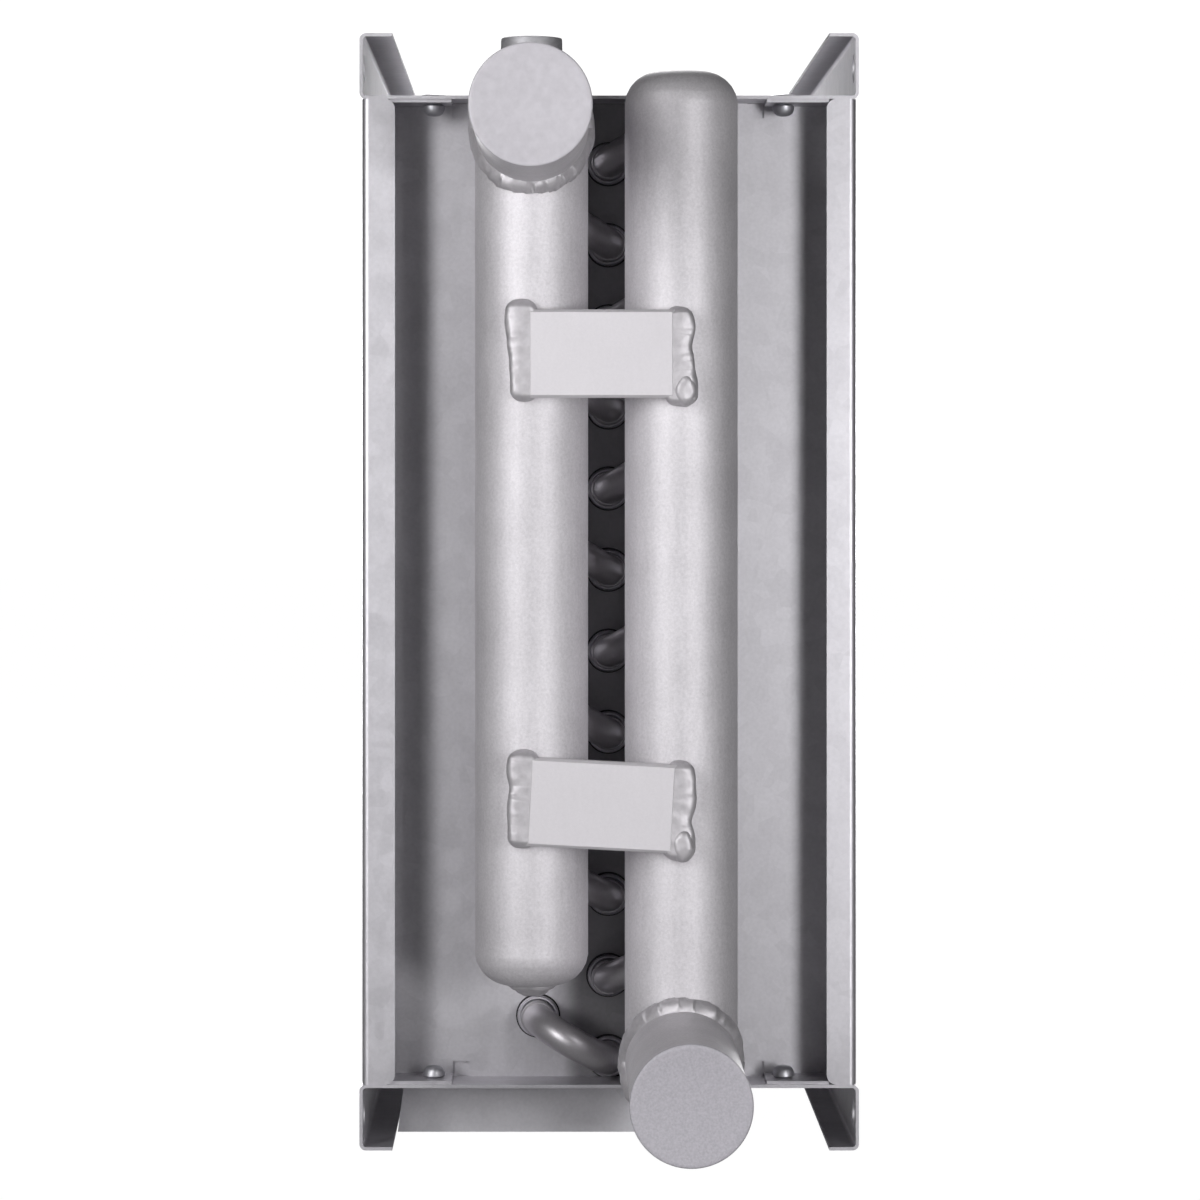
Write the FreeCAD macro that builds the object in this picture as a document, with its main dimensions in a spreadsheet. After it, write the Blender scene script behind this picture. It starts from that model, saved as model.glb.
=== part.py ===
import FreeCAD, Part
import Sketcher

import math
import os
import re

from FreeCAD import Placement, Rotation, Vector

# Duct water heating coil: a finned tube pack in a folded sheet casing that bolts between two duct flanges.
# Frame: the origin is the centre of the air inlet opening, in the plane of the inlet flange.
# +X runs with the air, +Z is up and -Y is the side of the headers. All sizes are in millimetres.

doc = FreeCAD.newDocument("duct_water_heating_coil")
sheet = doc.addObject("Spreadsheet::Sheet", "Dims")

DIMENSIONS = [
    ("duct_width", 500, "clear width of the duct opening, along the tubes"),
    ("duct_height", 300, "clear height of the duct opening"),
    ("casing_depth", 152, "from inlet flange face to outlet flange face"),
    ("sheet_gauge", 1.0, "thickness of the galvanised sheet"),
    ("flange_height", 20, "from the duct opening to the outside of the return lip"),
    ("lip_width", 10, "width of the return lip at the edge of the inlet flange"),
    ("outlet_lip", 9, "width of the return lip at the edge of the outlet flange"),
    ("fold_radius", 2.0, "outside radius of each fold"),
    ("flange_step", 0.8, "how far the tube plates' flanges stand behind the panels' flanges"),
    ("corner_hole", 9, "diameter of the bolt hole in each flange corner"),
    ("lip_corner", 3, "corner radius of the tube plates' lips"),
    ("tab_width", 19, "width of the tabs that fix a tube plate to the panels"),
    ("tab_length", 18, "how far a tab reaches out from its tube plate"),
    ("tab_start", 9, "from a flange face to the near side of a tab"),
    ("notch_width", 5.1, "width of the relief beside a tab"),
    ("notch_depth", 4.6, "depth of the relief beside a tab"),
    ("rivet_inset", 22.5, "from a flange face to a rivet"),
    ("rivet_reach", 9.5, "from a tube plate's outer face to a rivet"),
    ("rivet_shank", 4.8, "diameter of a blind rivet"),
    ("rivet_head", 9.5, "diameter of its flat outer head"),
    ("rivet_head_rise", 1.2, "height of the outer head"),
    ("rivet_tail", 6.4, "diameter of its set inner end"),
    ("rivet_tail_rise", 3.5, "height of the set inner end"),
    ("rivet_fit", 0.05, "clearance round a rivet's shank"),
    ("tube_pitch", 25, "distance between tubes in one row, up the fins"),
    ("row_pitch", 21.65, "distance between the three tube rows, along the air"),
    ("tube_diameter", 9.52, "outside diameter of the copper tubes"),
    ("tube_fit", 0.05, "clearance round a tube in the fins and tube plates"),
    ("tube_stand", 5, "how far a tube's open end stands out of the tube plate"),
    ("bend_lead", 1, "straight length of a return bend before it turns"),
    ("fin_edge_gap", 0.3, "gap between the fins and the top and bottom panels"),
    ("fin_end_gap", 1.5, "gap between the last fin and a tube plate"),
    ("fin_pitch", 10, "pitch of the ribs that stand for the fins, one for every four"),
    ("fin_gauge", 4, "thickness of one rib"),
    ("fin_gap_depth", 5, "how deep the gaps between the fins are cut"),
    ("header_diameter", 33.7, "outside diameter of both headers"),
    ("header_wall", 2.6, "wall thickness of the headers and stubs"),
    ("header_spacing", 44.7, "distance between the two headers"),
    ("header_shift", 1.15, "how far the pair stands towards the inlet"),
    ("header_stand", 43.8, "from the tube plate's outer face to the headers' axes"),
    ("header_overrun", 6.8, "how far a header's long end passes the duct opening"),
    ("header_tail", 10.35, "from the last feeder's axis to the header's short end"),
    ("crown_rise", 9, "height of a header's spun end"),
    ("crown_inset", 5.65, "from the pipe's outside in to the flat middle of a spun end"),
    ("shoulder_inset", 1.6, "from the pipe's outside in to a spun end's shoulder"),
    ("shoulder_drop", 2.7, "how far the shoulder lies below the flat middle"),
    ("header_gap", 1.5, "how far a feeder reaches past the header's inner wall"),
    ("stub_inset", 11, "from the duct opening's edge to a stub's axis"),
    ("stub_length", 96.7, "from a header's axis to the open end of its stub"),
    ("cap_diameter", 34.6, "outside diameter of a protective cap"),
    ("cap_face", 1.2, "thickness of the cap's disc"),
    ("cap_plug", 9, "length of the cap's plug inside the stub"),
    ("cap_wall", 1.2, "wall thickness of the cap's plug"),
    ("cap_fit", 0.1, "clearance between the plug and the stub"),
    ("socket_diameter", 18.5, "outside diameter of the vent and drain sockets"),
    ("socket_height", 9.4, "height of a socket above the header's end"),
    ("socket_bore", 11.4, "bore of a socket"),
    ("header_port", 8.4, "bore from a socket into its header"),
    ("plug_key", 6, "width of the hexagon recess in a plug"),
    ("plug_length", 7, "length of a plug"),
    ("plug_recess", 0.8, "how far a plug sits inside its socket"),
    ("plug_fit", 0.05, "clearance round a plug"),
    ("bar_length", 43.3, "length of a tie bar, from header to header"),
    ("bar_height", 26, "height of a tie bar"),
    ("bar_thickness", 4.5, "thickness of a tie bar"),
    ("bar_shift", 1.75, "how far the bars stand towards the inlet from the middle of the headers"),
    ("bar_edge", 0.8, "chamfer on a tie bar's outer edges"),
    ("upper_bar_rise", 71.5, "height of the upper tie bar's middle above the duct's axis"),
    ("lower_bar_drop", 61.5, "depth of the lower tie bar's middle below the duct's axis"),
    ("lower_bar_tilt", 3, "tilt of the lower tie bar in degrees"),
    ("angle_setback", 36, "from the casing's header end to the stiffener"),
    ("angle_length", 105, "length of the stiffener across the casing"),
    ("angle_leg", 15, "width of the stiffener's top leg"),
    ("angle_gap", 0.5, "gap between the stiffener and the flange lip beside it"),
    ("foot_gap", 0.3, "gap between the stiffener's lower edge and the floor"),
]

for row, (alias, value, note) in enumerate(DIMENSIONS, start=1):
    sheet.set(f"A{row}", alias)
    sheet.set(f"B{row}", str(value))
    sheet.set(f"C{row}", note)
    sheet.setAlias(f"B{row}", alias)
doc.recompute()

ALIASES = sorted((name for name, _, _ in DIMENSIONS), key=len, reverse=True)
ALIAS_WORD = re.compile(r"\b(" + "|".join(ALIASES) + r")\b")

# The tubes and rivets repeat so often that their round sections are drawn with few sides
TUBE_SIDES = 8
BEND_STEPS = 5
RIVET_SIDES = 8
HEX_SIDES = 6

# Tube rows along the air, and how far each row's first tube lies below the opening's top, in tube pitches
ROWS = ("inlet", "middle", "outlet")
ROW_DROP = (0.25, 0.75, 0.25)

# How far a cutting tool reaches past what it cuts, and how near two points count as one
MARGIN = 5
CLOSE = 0.001


def size(alias):
    return float(getattr(sheet, alias))


def tie(item, prop, expression):
    """Bind one property of an object to the spreadsheet."""
    item.setExpression(prop, ALIAS_WORD.sub(r"Dims.\1", expression))


def place(item, x="0", y="0", z="0"):
    tie(item, "Placement.Base.x", x)
    tie(item, "Placement.Base.y", y)
    tie(item, "Placement.Base.z", z)


def turn(item, axis, angle):
    item.Placement = Placement(Vector(), Rotation(axis, angle))


ALONG_Y = (Vector(1, 0, 0), -90)
ALONG_MINUS_Y = (Vector(1, 0, 0), 90)
ALONG_X = (Vector(0, 1, 0), 90)


def box(name, length, width, height, x="0", y="0", z="0"):
    item = doc.addObject("Part::Box", name)
    tie(item, "Length", length)
    tie(item, "Width", width)
    tie(item, "Height", height)
    place(item, x, y, z)
    return item


def cylinder(name, radius, height, x="0", y="0", z="0", way=None):
    item = doc.addObject("Part::Cylinder", name)
    tie(item, "Radius", radius)
    tie(item, "Height", height)
    if way:
        turn(item, *way)
    place(item, x, y, z)
    return item


def prism(name, sides, radius, height, x="0", y="0", z="0", way=None):
    item = doc.addObject("Part::Prism", name)
    item.Polygon = sides
    tie(item, "Circumradius", radius)
    tie(item, "Height", height)
    if way:
        turn(item, *way)
    place(item, x, y, z)
    return item


def compound(name, items):
    item = doc.addObject("Part::Compound", name)
    item.Links = items
    return item


def cut(name, base, tools):
    item = doc.addObject("Part::Cut", name)
    item.Base = base
    item.Tool = tools[0] if len(tools) == 1 else compound(name + "_tools", tools)
    return item


def fuse(name, items):
    item = doc.addObject("Part::MultiFuse", name)
    item.Shapes = items
    return item


# Sketches and bodies for the folded sheets

def origin_plane(body, role):
    return next(item for item in body.Origin.OriginFeatures if item.Role == role)


def outline_sketch(body, name, role, rings):
    """Closed outlines whose corners are each held by two distances from the sketch's origin.

    The corners start on a circle, one circle for each outline, and the distances then pull them into place.
    """
    sketch = body.newObject("Sketcher::SketchObject", name)
    sketch.AttachmentSupport = (origin_plane(body, role), [""])
    sketch.MapMode = "FlatFace"
    for ring_number, corners in enumerate(rings):
        count = len(corners)
        reach = size("casing_depth") * (ring_number + 1)
        angles = [2 * math.pi * index / count for index in range(count)]
        start = [Vector(reach * math.cos(a), reach * math.sin(a), 0) for a in angles]
        lines = [sketch.addGeometry(Part.LineSegment(start[index], start[(index + 1) % count]))
                 for index in range(count)]
        sketch.addConstraint([Sketcher.Constraint("Coincident", lines[index], 2, lines[(index + 1) % count], 1)
                              for index in range(count)])
        for index, (across, up) in enumerate(corners):
            for kind, expression, guess in (("DistanceX", across, start[index].x),
                                            ("DistanceY", up, start[index].y)):
                number = sketch.addConstraint(Sketcher.Constraint(kind, -1, 1, lines[index], 1, guess))
                tie(sketch, f"Constraints[{number}]", expression)
    return sketch


def pad_across(body, name, sketch, length):
    pad = body.newObject("PartDesign::Pad", name)
    pad.Profile = sketch
    pad.Midplane = True
    tie(pad, "Length", length)
    return pad


def edges_at(feature, lines, along):
    """Names of the edges that run along one axis through given points of the other two."""
    names = []
    for number, edge in enumerate(feature.Shape.Edges, start=1):
        if edge.Curve.TypeId != "Part::GeomLine":
            continue
        if abs(abs(edge.Curve.Direction.dot(along)) - 1) > CLOSE:
            continue
        middle = edge.CenterOfMass
        flat = middle - along * middle.dot(along)
        if any((flat - point).Length < CLOSE for point in lines):
            names.append(f"Edge{number}")
    return names


def round_edges(body, name, base, names, radius):
    fillet = body.newObject("PartDesign::Fillet", name)
    fillet.Base = (base, names)
    tie(fillet, "Radius", radius)
    return fillet


X_AXIS = Vector(1, 0, 0)
Y_AXIS = Vector(0, 1, 0)
Z_AXIS = Vector(0, 0, 1)


def channel_corners(step, face, way):
    """The section of a sheet with two flanges and two return lips, drawn from the opening outwards."""
    far = f"casing_depth - ({step})"
    back = f"{face} {way} sheet_gauge"
    top = f"{face} {way} flange_height"
    under = f"{face} {way} (flange_height - sheet_gauge)"
    return [
        (step, face),
        (far, face),
        (far, top),
        (f"{far} - outlet_lip", top),
        (f"{far} - outlet_lip", under),
        (f"{far} - sheet_gauge", under),
        (f"{far} - sheet_gauge", back),
        (f"{step} + sheet_gauge", back),
        (f"{step} + sheet_gauge", under),
        (f"{step} + lip_width", under),
        (f"{step} + lip_width", top),
        (step, top),
    ]


def folded_channel(name, role, along, across, side, step, face, length):
    """A folded sheet channel: padded section, then outside and inside fold radii."""
    way = "+" if side > 0 else "-"
    sign = "" if side > 0 else "-"
    body = doc.addObject("PartDesign::Body", name + "_sheet")
    corners = channel_corners(step, f"{sign}({face})", way)
    section = outline_sketch(body, name + "_section", role, [corners])
    pad = pad_across(body, name + "_pad", section, length)
    doc.recompute()
    inset = 0 if step == "0" else size(step)
    near = inset
    far = size("casing_depth") - inset
    gauge = size("sheet_gauge")
    base = size("duct_height") / 2 if across == Z_AXIS else size("duct_width") / 2
    top = base + size("flange_height")
    outer = [(near, base), (far, base), (near, top), (far, top)]
    inner = [(near + gauge, base + gauge), (far - gauge, base + gauge),
             (near + gauge, top - gauge), (far - gauge, top - gauge)]
    outer_lines = [X_AXIS * x + across * side * level for x, level in outer]
    inner_lines = [X_AXIS * x + across * side * level for x, level in inner]
    outside = round_edges(body, name + "_outer_folds", pad,
                          edges_at(pad, outer_lines, along), "fold_radius")
    doc.recompute()
    round_edges(body, name + "_inner_folds", outside,
                edges_at(outside, inner_lines, along), "fold_radius - sheet_gauge")
    doc.recompute()
    return body


RIVET_PLACES = [(end, x) for end in (-1, 1)
                for x in ("rivet_inset", "casing_depth - rivet_inset")]


def outward(end, expression):
    """A distance along Y from the middle of the casing towards one of its ends."""
    return f"-({expression})" if end < 0 else expression


def duct_panel(name, side):
    """The top (side 1) or bottom (side -1) panel, with its corner bolt holes and rivet holes."""
    body = folded_channel(name, "XZ_Plane", Y_AXIS, Z_AXIS, side, "0", "duct_height / 2",
                          "duct_width + 2 * flange_height")
    sign = "" if side > 0 else "-"
    holes = []
    for end in (-1, 1):
        holes.append(cylinder(f"{name}_corner_hole_{len(holes)}", "corner_hole / 2",
                              f"casing_depth + 2 * {MARGIN}", f"-{MARGIN}",
                              outward(end, "duct_width / 2 + flange_height / 2"),
                              f"{sign}(duct_height / 2 + flange_height / 2)", ALONG_X))
    for end, x in RIVET_PLACES:
        holes.append(prism(f"{name}_rivet_hole_{len(holes)}", RIVET_SIDES,
                           "rivet_shank / 2 + rivet_fit", f"2 * {MARGIN}", x,
                           outward(end, "duct_width / 2 + sheet_gauge + rivet_reach"),
                           f"{sign}duct_height / 2 - {MARGIN}"))
    return cut(name, body, holes)


# Where the tubes run

TUBES_PER_ROW = 2 * int(size("duct_height") / size("tube_pitch") / 2 + 1e-6)


def tube_x(row):
    return f"casing_depth / 2 + ({row - 1}) * row_pitch"


def tube_z(row, index):
    """Rows are staggered by half a pitch, which leaves each tube as far from its neighbours all round."""
    return f"({TUBES_PER_ROW / 2} - {index + ROW_DROP[row]}) * tube_pitch"


def tube_prisms(name, radius, length, start, way=ALONG_Y):
    return [prism(f"{name}_{row}_{index}", TUBE_SIDES, radius, length,
                  tube_x(row), start, tube_z(row, index), way)
            for row in range(3) for index in range(TUBES_PER_ROW)]


def tube_plate(name, end):
    """The folded end plate that carries the tubes, with tabs riveted to both panels."""
    body = folded_channel(name, "XY_Plane", Z_AXIS, Y_AXIS, end, "flange_step",
                          "duct_width / 2", "duct_height")
    corners = [Vector(x, 0, side * size("duct_height") / 2)
               for side in (-1, 1)
               for x in (size("flange_step") + size("lip_width"),
                         size("casing_depth") - size("flange_step") - size("outlet_lip"))]
    last = body.Tip
    round_edges(body, name + "_lip_corners", last, edges_at(last, corners, Y_AXIS), "lip_corner")
    doc.recompute()

    tabs = []
    tools = []
    reach = "sheet_gauge + tab_length"
    low_y = "duct_width / 2" if end > 0 else f"-(duct_width / 2 + {reach})"
    through = f"2 * {MARGIN}"
    through_start = outward(end, "duct_width / 2 + sheet_gauge / 2") + f" - {MARGIN}"
    for side in (-1, 1):
        for near in (True, False):
            number = len(tabs)
            tab_x = "tab_start" if near else "casing_depth - tab_start - tab_width"
            tab_z = "duct_height / 2 - sheet_gauge" if side > 0 else "-duct_height / 2"
            tabs.append(box(f"{name}_tab_{number}", "tab_width", reach, "sheet_gauge",
                            tab_x, low_y, tab_z))
            notch_z = "duct_height / 2 - notch_depth" if side > 0 else f"-duct_height / 2 - {MARGIN}"
            notch_x = "tab_start + tab_width" if near else \
                "casing_depth - tab_start - tab_width - notch_width"
            tools.append(box(f"{name}_notch_{number}", "notch_width", through,
                             f"notch_depth + {MARGIN}", notch_x, through_start, notch_z))
            rivet_x = "rivet_inset" if near else "casing_depth - rivet_inset"
            rivet_z = f"duct_height / 2 - {MARGIN}" if side > 0 else f"-duct_height / 2 - {MARGIN}"
            tools.append(prism(f"{name}_rivet_hole_{number}", RIVET_SIDES,
                               "rivet_shank / 2 + rivet_fit", through, rivet_x,
                               outward(end, "duct_width / 2 + sheet_gauge + rivet_reach"), rivet_z))
    whole = fuse(name + "_with_tabs", [body] + tabs)
    tools += tube_prisms(name + "_hole", "tube_diameter / 2 + tube_fit", through, through_start)
    return cut(name, whole, tools)


def fin_pack():
    """The fins as one ribbed block: gaps cut into both air faces, and the tube bores through it."""
    body = doc.addObject("PartDesign::Body", "fin_block")
    half = "(duct_width / 2 - fin_end_gap)"
    front = f"casing_depth / 2 - {len(ROWS) / 2} * row_pitch"
    back = f"casing_depth / 2 + {len(ROWS) / 2} * row_pitch"
    block = [(front, f"-{half}"), (back, f"-{half}"), (back, half), (front, half)]
    pad_across(body, "fin_pad", outline_sketch(body, "fin_outline", "XY_Plane", [block]),
               "duct_height - 2 * fin_edge_gap")
    doc.recompute()
    gaps = int((size("duct_width") - 2 * size("fin_end_gap") - size("fin_gauge")) / size("fin_pitch"))
    width = "(fin_pitch - fin_gauge)"
    low = f"-({gaps - 1} * fin_pitch + {width}) / 2"
    high = f"{low} + {width}"
    faces = [(f"{front} - {MARGIN}", f"{front} + fin_gap_depth"),
             (f"{back} - fin_gap_depth", f"{back} + {MARGIN}")]
    rings = [[(left, low), (right, low), (right, high), (left, high)] for left, right in faces]
    gap = body.newObject("PartDesign::Pocket", "fin_gap")
    gap.Profile = outline_sketch(body, "fin_gap_outline", "XY_Plane", rings)
    gap.Midplane = True
    tie(gap, "Length", "duct_height")
    doc.recompute()
    pattern = body.newObject("PartDesign::LinearPattern", "fin_gaps")
    pattern.Originals = [gap]
    pattern.Direction = (origin_plane(body, "Y_Axis"), [""])
    tie(pattern, "Length", f"{gaps - 1} * fin_pitch")
    pattern.Occurrences = gaps
    body.Tip = pattern
    doc.recompute()
    start = f"-duct_width / 2 - {MARGIN}"
    bores = tube_prisms("fin_bore", "tube_diameter / 2 + tube_fit", f"duct_width + 2 * {MARGIN}", start)
    return cut("fin_pack", body, bores)


# Copper tubes, swept as eight-sided rods with short straight steps round each bend

def tube_centre(row, index):
    return Vector(size("casing_depth") / 2 + (row - 1) * size("row_pitch"), 0,
                  (TUBES_PER_ROW / 2 - index - ROW_DROP[row]) * size("tube_pitch"))


def bent_tube(first, second, open_y, bend_y):
    """A rod from its open end to its bend and back: two legs joined by a half turn."""
    out = 1 if bend_y > open_y else -1
    across = second - first
    radius = across.Length / 2
    middle = (first + second) / 2 + Vector(0, bend_y, 0)
    turns = [math.pi * step / BEND_STEPS for step in range(BEND_STEPS + 1)]
    arc = [middle - across.normalize() * radius * math.cos(turn_by)
           + Vector(0, out * radius * math.sin(turn_by), 0) for turn_by in turns]
    ends = [first + Vector(0, open_y, 0), second + Vector(0, open_y, 0)]
    spine = Part.makePolygon([ends[0]] + arc + [ends[1]])
    rim = size("tube_diameter") / 2
    corners = [2 * math.pi * side / TUBE_SIDES for side in range(TUBE_SIDES + 1)]
    section = Part.makePolygon([ends[0] + Vector(rim * math.cos(a), 0, rim * math.sin(a))
                                for a in corners])
    return spine.makePipeShell([section], True, False, 1)


def solids(name, shapes):
    item = doc.addObject("Part::Feature", name)
    item.Shape = Part.makeCompound(shapes)
    return item


def plate_face():
    return size("duct_width") / 2 + size("sheet_gauge")


def hairpin_tubes(row):
    """Long U tubes of one row: both legs run through the fins, and the bend stands at the far side."""
    open_y = -plate_face() - size("tube_stand")
    bend_y = plate_face() + size("bend_lead")
    pairs = range(0, TUBES_PER_ROW, 2)
    return solids(ROWS[row] + "_row_hairpin_tubes",
                  [bent_tube(tube_centre(row, k), tube_centre(row, k + 1), open_y, bend_y) for k in pairs])


def return_bends(row, first):
    """Short U bends at the header side, from the middle row to an outer row."""
    open_y = -plate_face() - size("tube_stand")
    bend_y = open_y - size("bend_lead")
    levels = range(first, TUBES_PER_ROW, 2)
    return solids(ROWS[row] + "_side_return_bends",
                  [bent_tube(tube_centre(1, k), tube_centre(row, k), open_y, bend_y) for k in levels])


# Headers, each with its feeders, stub, cap, socket and plug

HEADERS = {
    "return": {"row": 0, "first": 0, "side": 1, "vent": "vent"},
    "supply": {"row": 2, "first": 1, "side": -1, "vent": "drain"},
}
HEADER_Y = "-(duct_width / 2 + sheet_gauge + header_stand)"


def header_x(name):
    way = "-" if name == "return" else "+"
    return f"casing_depth / 2 - header_shift {way} header_spacing / 2"


def feeder_levels(name):
    return range(HEADERS[name]["first"], TUBES_PER_ROW, 2)


def header_ends(name):
    """Heights of the header's lower and upper ends: the return header's lower end is its short one."""
    long_end = "duct_height / 2 + header_overrun"
    if name == "return":
        last = feeder_levels(name)[-1]
        return f"{tube_z(0, last)} - header_tail", long_end
    return f"-({long_end})", long_end


def turned_body(name, role, outline):
    """A body made by turning one closed outline about its sketch's vertical axis."""
    body = doc.addObject("PartDesign::Body", name)
    sketch = outline_sketch(body, name + "_outline", role, [outline])
    turned = body.newObject("PartDesign::Revolution", name + "_turned")
    turned.Profile = sketch
    turned.ReferenceAxis = (sketch, ["V_Axis"])
    turned.Angle = 360
    return body


def header_pipe(name):
    """A steel pipe with spun ends, and the bored holes for its feeders, stub and socket."""
    low, high = header_ends(name)
    rim = "header_diameter / 2"
    flat = f"{rim} - crown_inset"
    shoulder = f"{rim} - shoulder_inset"
    outline = [("0", low), (flat, low), (shoulder, f"{low} + shoulder_drop"),
               (rim, f"{low} + crown_rise"), (rim, f"{high} - crown_rise"),
               (shoulder, f"{high} - shoulder_drop"), (flat, high), ("0", high)]
    outer = turned_body(f"{name}_header_outer", "XZ_Plane", outline)
    x = header_x(name)
    place(outer, x, HEADER_Y)
    inner = "header_diameter / 2 - header_wall"
    tools = [cylinder(f"{name}_header_cavity", inner, f"{high} - ({low}) - 2 * crown_rise",
                      x, HEADER_Y, f"{low} + crown_rise")]
    row = HEADERS[name]["row"]
    for k in feeder_levels(name):
        tools.append(prism(f"{name}_feeder_hole_{k}", TUBE_SIDES, "tube_diameter / 2 + tube_fit",
                           "header_diameter", tube_x(row), HEADER_Y, tube_z(row, k), ALONG_Y))
    side = HEADERS[name]["side"]
    tools.append(cylinder(f"{name}_stub_hole", inner, "header_diameter",
                          x, HEADER_Y, stub_level(side), ALONG_MINUS_Y))
    socket_base = high if side > 0 else low
    tools.append(cylinder(f"{name}_port", "header_port / 2", "2 * (crown_rise + header_wall)",
                          x, HEADER_Y, f"{socket_base} - crown_rise - header_wall"))
    return cut(f"{name}_header_pipe", outer, tools), outer


def stub_level(side):
    level = "(duct_height / 2 - stub_inset)"
    return level if side > 0 else f"-{level}"


def connection_stub(name, outer):
    """The water connection: a pipe coped to fit the header, pointing away from the casing."""
    side = HEADERS[name]["side"]
    spot = (header_x(name), HEADER_Y, stub_level(side))
    pipe = cylinder(f"{name}_stub_outside", "header_diameter / 2", "stub_length", *spot, ALONG_MINUS_Y)
    bore = cylinder(f"{name}_stub_bore", "header_diameter / 2 - header_wall", "stub_length",
                    *spot, ALONG_MINUS_Y)
    ring = cut(f"{name}_stub_ring", pipe, [bore])
    return cut(f"{name}_connection_stub", ring, [outer])


def protective_cap(name):
    """A plastic plug with a thin disc that covers the open end of a stub until it is fitted."""
    plug = "header_diameter / 2 - header_wall - cap_fit"
    outline = [("0", "-cap_face"), ("cap_diameter / 2", "-cap_face"), ("cap_diameter / 2", "0"), (plug, "0"),
               (plug, "cap_plug"), (f"{plug} - cap_wall", "cap_plug"), (f"{plug} - cap_wall", "0"),
               ("0", "0")]
    body = turned_body(f"{name}_connection_cap", "XY_Plane", outline)
    place(body, header_x(name), HEADER_Y + " - stub_length", stub_level(HEADERS[name]["side"]))
    return body


def socket_and_plug(name):
    """The vent (top) or drain (bottom) socket on the header's end, with its recessed plug."""
    side = HEADERS[name]["side"]
    label = HEADERS[name]["vent"]
    low, high = header_ends(name)
    base = high if side > 0 else f"{low} - socket_height"
    x = header_x(name)
    body = cylinder(f"{label}_socket_outside", "socket_diameter / 2", "socket_height", x, HEADER_Y, base)
    bore = cylinder(f"{label}_socket_bore", "socket_bore / 2", "socket_height", x, HEADER_Y, base)
    socket = cut(f"{label}_socket", body, [bore])
    plug_base = f"{high} + socket_height - plug_recess - plug_length" if side > 0 else \
        f"{low} - socket_height + plug_recess"
    core = cylinder(f"{label}_plug_outside", "socket_bore / 2 - plug_fit", "plug_length",
                    x, HEADER_Y, plug_base)
    key_base = f"{plug_base} + plug_length / 2" if side > 0 else f"{plug_base} - plug_length / 2"
    key = prism(f"{label}_plug_key", HEX_SIDES, "plug_key / sqrt(3)", "plug_length", x, HEADER_Y, key_base)
    return socket, cut(f"{label}_plug", core, [key])


def feeders(name):
    """Short tubes from the tube plate to the header, one for each circuit."""
    row = HEADERS[name]["row"]
    start = "-(duct_width / 2 + sheet_gauge + tube_stand)"
    length = "header_stand - tube_stand - (header_diameter / 2 - header_wall) + header_gap"
    return compound(f"{name}_feeder_tubes",
                    [prism(f"{name}_feeder_{k}", TUBE_SIDES, "tube_diameter / 2", length,
                           tube_x(row), start, tube_z(row, k), ALONG_MINUS_Y)
                     for k in feeder_levels(name)])


def tie_bar(name, level, tilt):
    """A flat bar welded across both headers, its outer edges chamfered."""
    body = doc.addObject("PartDesign::Body", name)
    half_x = "bar_length / 2"
    half_z = "bar_height / 2"
    face = [(f"-{half_x}", f"-{half_z}"), (half_x, f"-{half_z}"), (half_x, half_z), (f"-{half_x}", half_z)]
    pad = body.newObject("PartDesign::Pad", name + "_pad")
    pad.Profile = outline_sketch(body, name + "_outline", "XZ_Plane", [face])
    tie(pad, "Length", "bar_thickness")
    doc.recompute()
    front = min(vertex.Point.y for vertex in pad.Shape.Vertexes)
    rim = [f"Edge{number}" for number, edge in enumerate(pad.Shape.Edges, start=1)
           if all(abs(vertex.Point.y - front) < CLOSE for vertex in edge.Vertexes)]
    chamfer = body.newObject("PartDesign::Chamfer", name + "_edges")
    chamfer.Base = (pad, rim)
    tie(chamfer, "Size", "bar_edge")
    turn(body, Y_AXIS, size(tilt) if tilt else 0)
    if tilt:
        tie(body, "Placement.Rotation.Angle", f"{tilt} * 1 deg")
    place(body, "casing_depth / 2 - header_shift - bar_shift", HEADER_Y + " - header_diameter / 2", level)
    return body


# Blind rivets and the stiffener

def rivets(name, end):
    """Four blind rivets through the panels and the tube plate's tabs, heads outside."""
    made = []
    y = outward(end, "duct_width / 2 + sheet_gauge + rivet_reach")
    for side in (-1, 1):
        for x in ("rivet_inset", "casing_depth - rivet_inset"):
            label = f"{name}_{len(made)}"
            sign = "" if side > 0 else "-"
            shank_low = "duct_height / 2 - sheet_gauge" if side > 0 else "-duct_height / 2 - sheet_gauge"
            head_low = "duct_height / 2 + sheet_gauge" if side > 0 else \
                "-duct_height / 2 - sheet_gauge - rivet_head_rise"
            tail_low = "duct_height / 2 - sheet_gauge - rivet_tail_rise" if side > 0 else \
                "-duct_height / 2 + sheet_gauge"
            parts = [
                prism(label + "_head", RIVET_SIDES, "rivet_head / 2", "rivet_head_rise", x, y, head_low),
                prism(label + "_shank", RIVET_SIDES, "rivet_shank / 2", "2 * sheet_gauge", x, y, shank_low),
                prism(label + "_tail", RIVET_SIDES, "rivet_tail / 2", "rivet_tail_rise", x, y, tail_low),
            ]
            made.append(fuse(label, parts))
    return compound(name, made)


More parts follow.
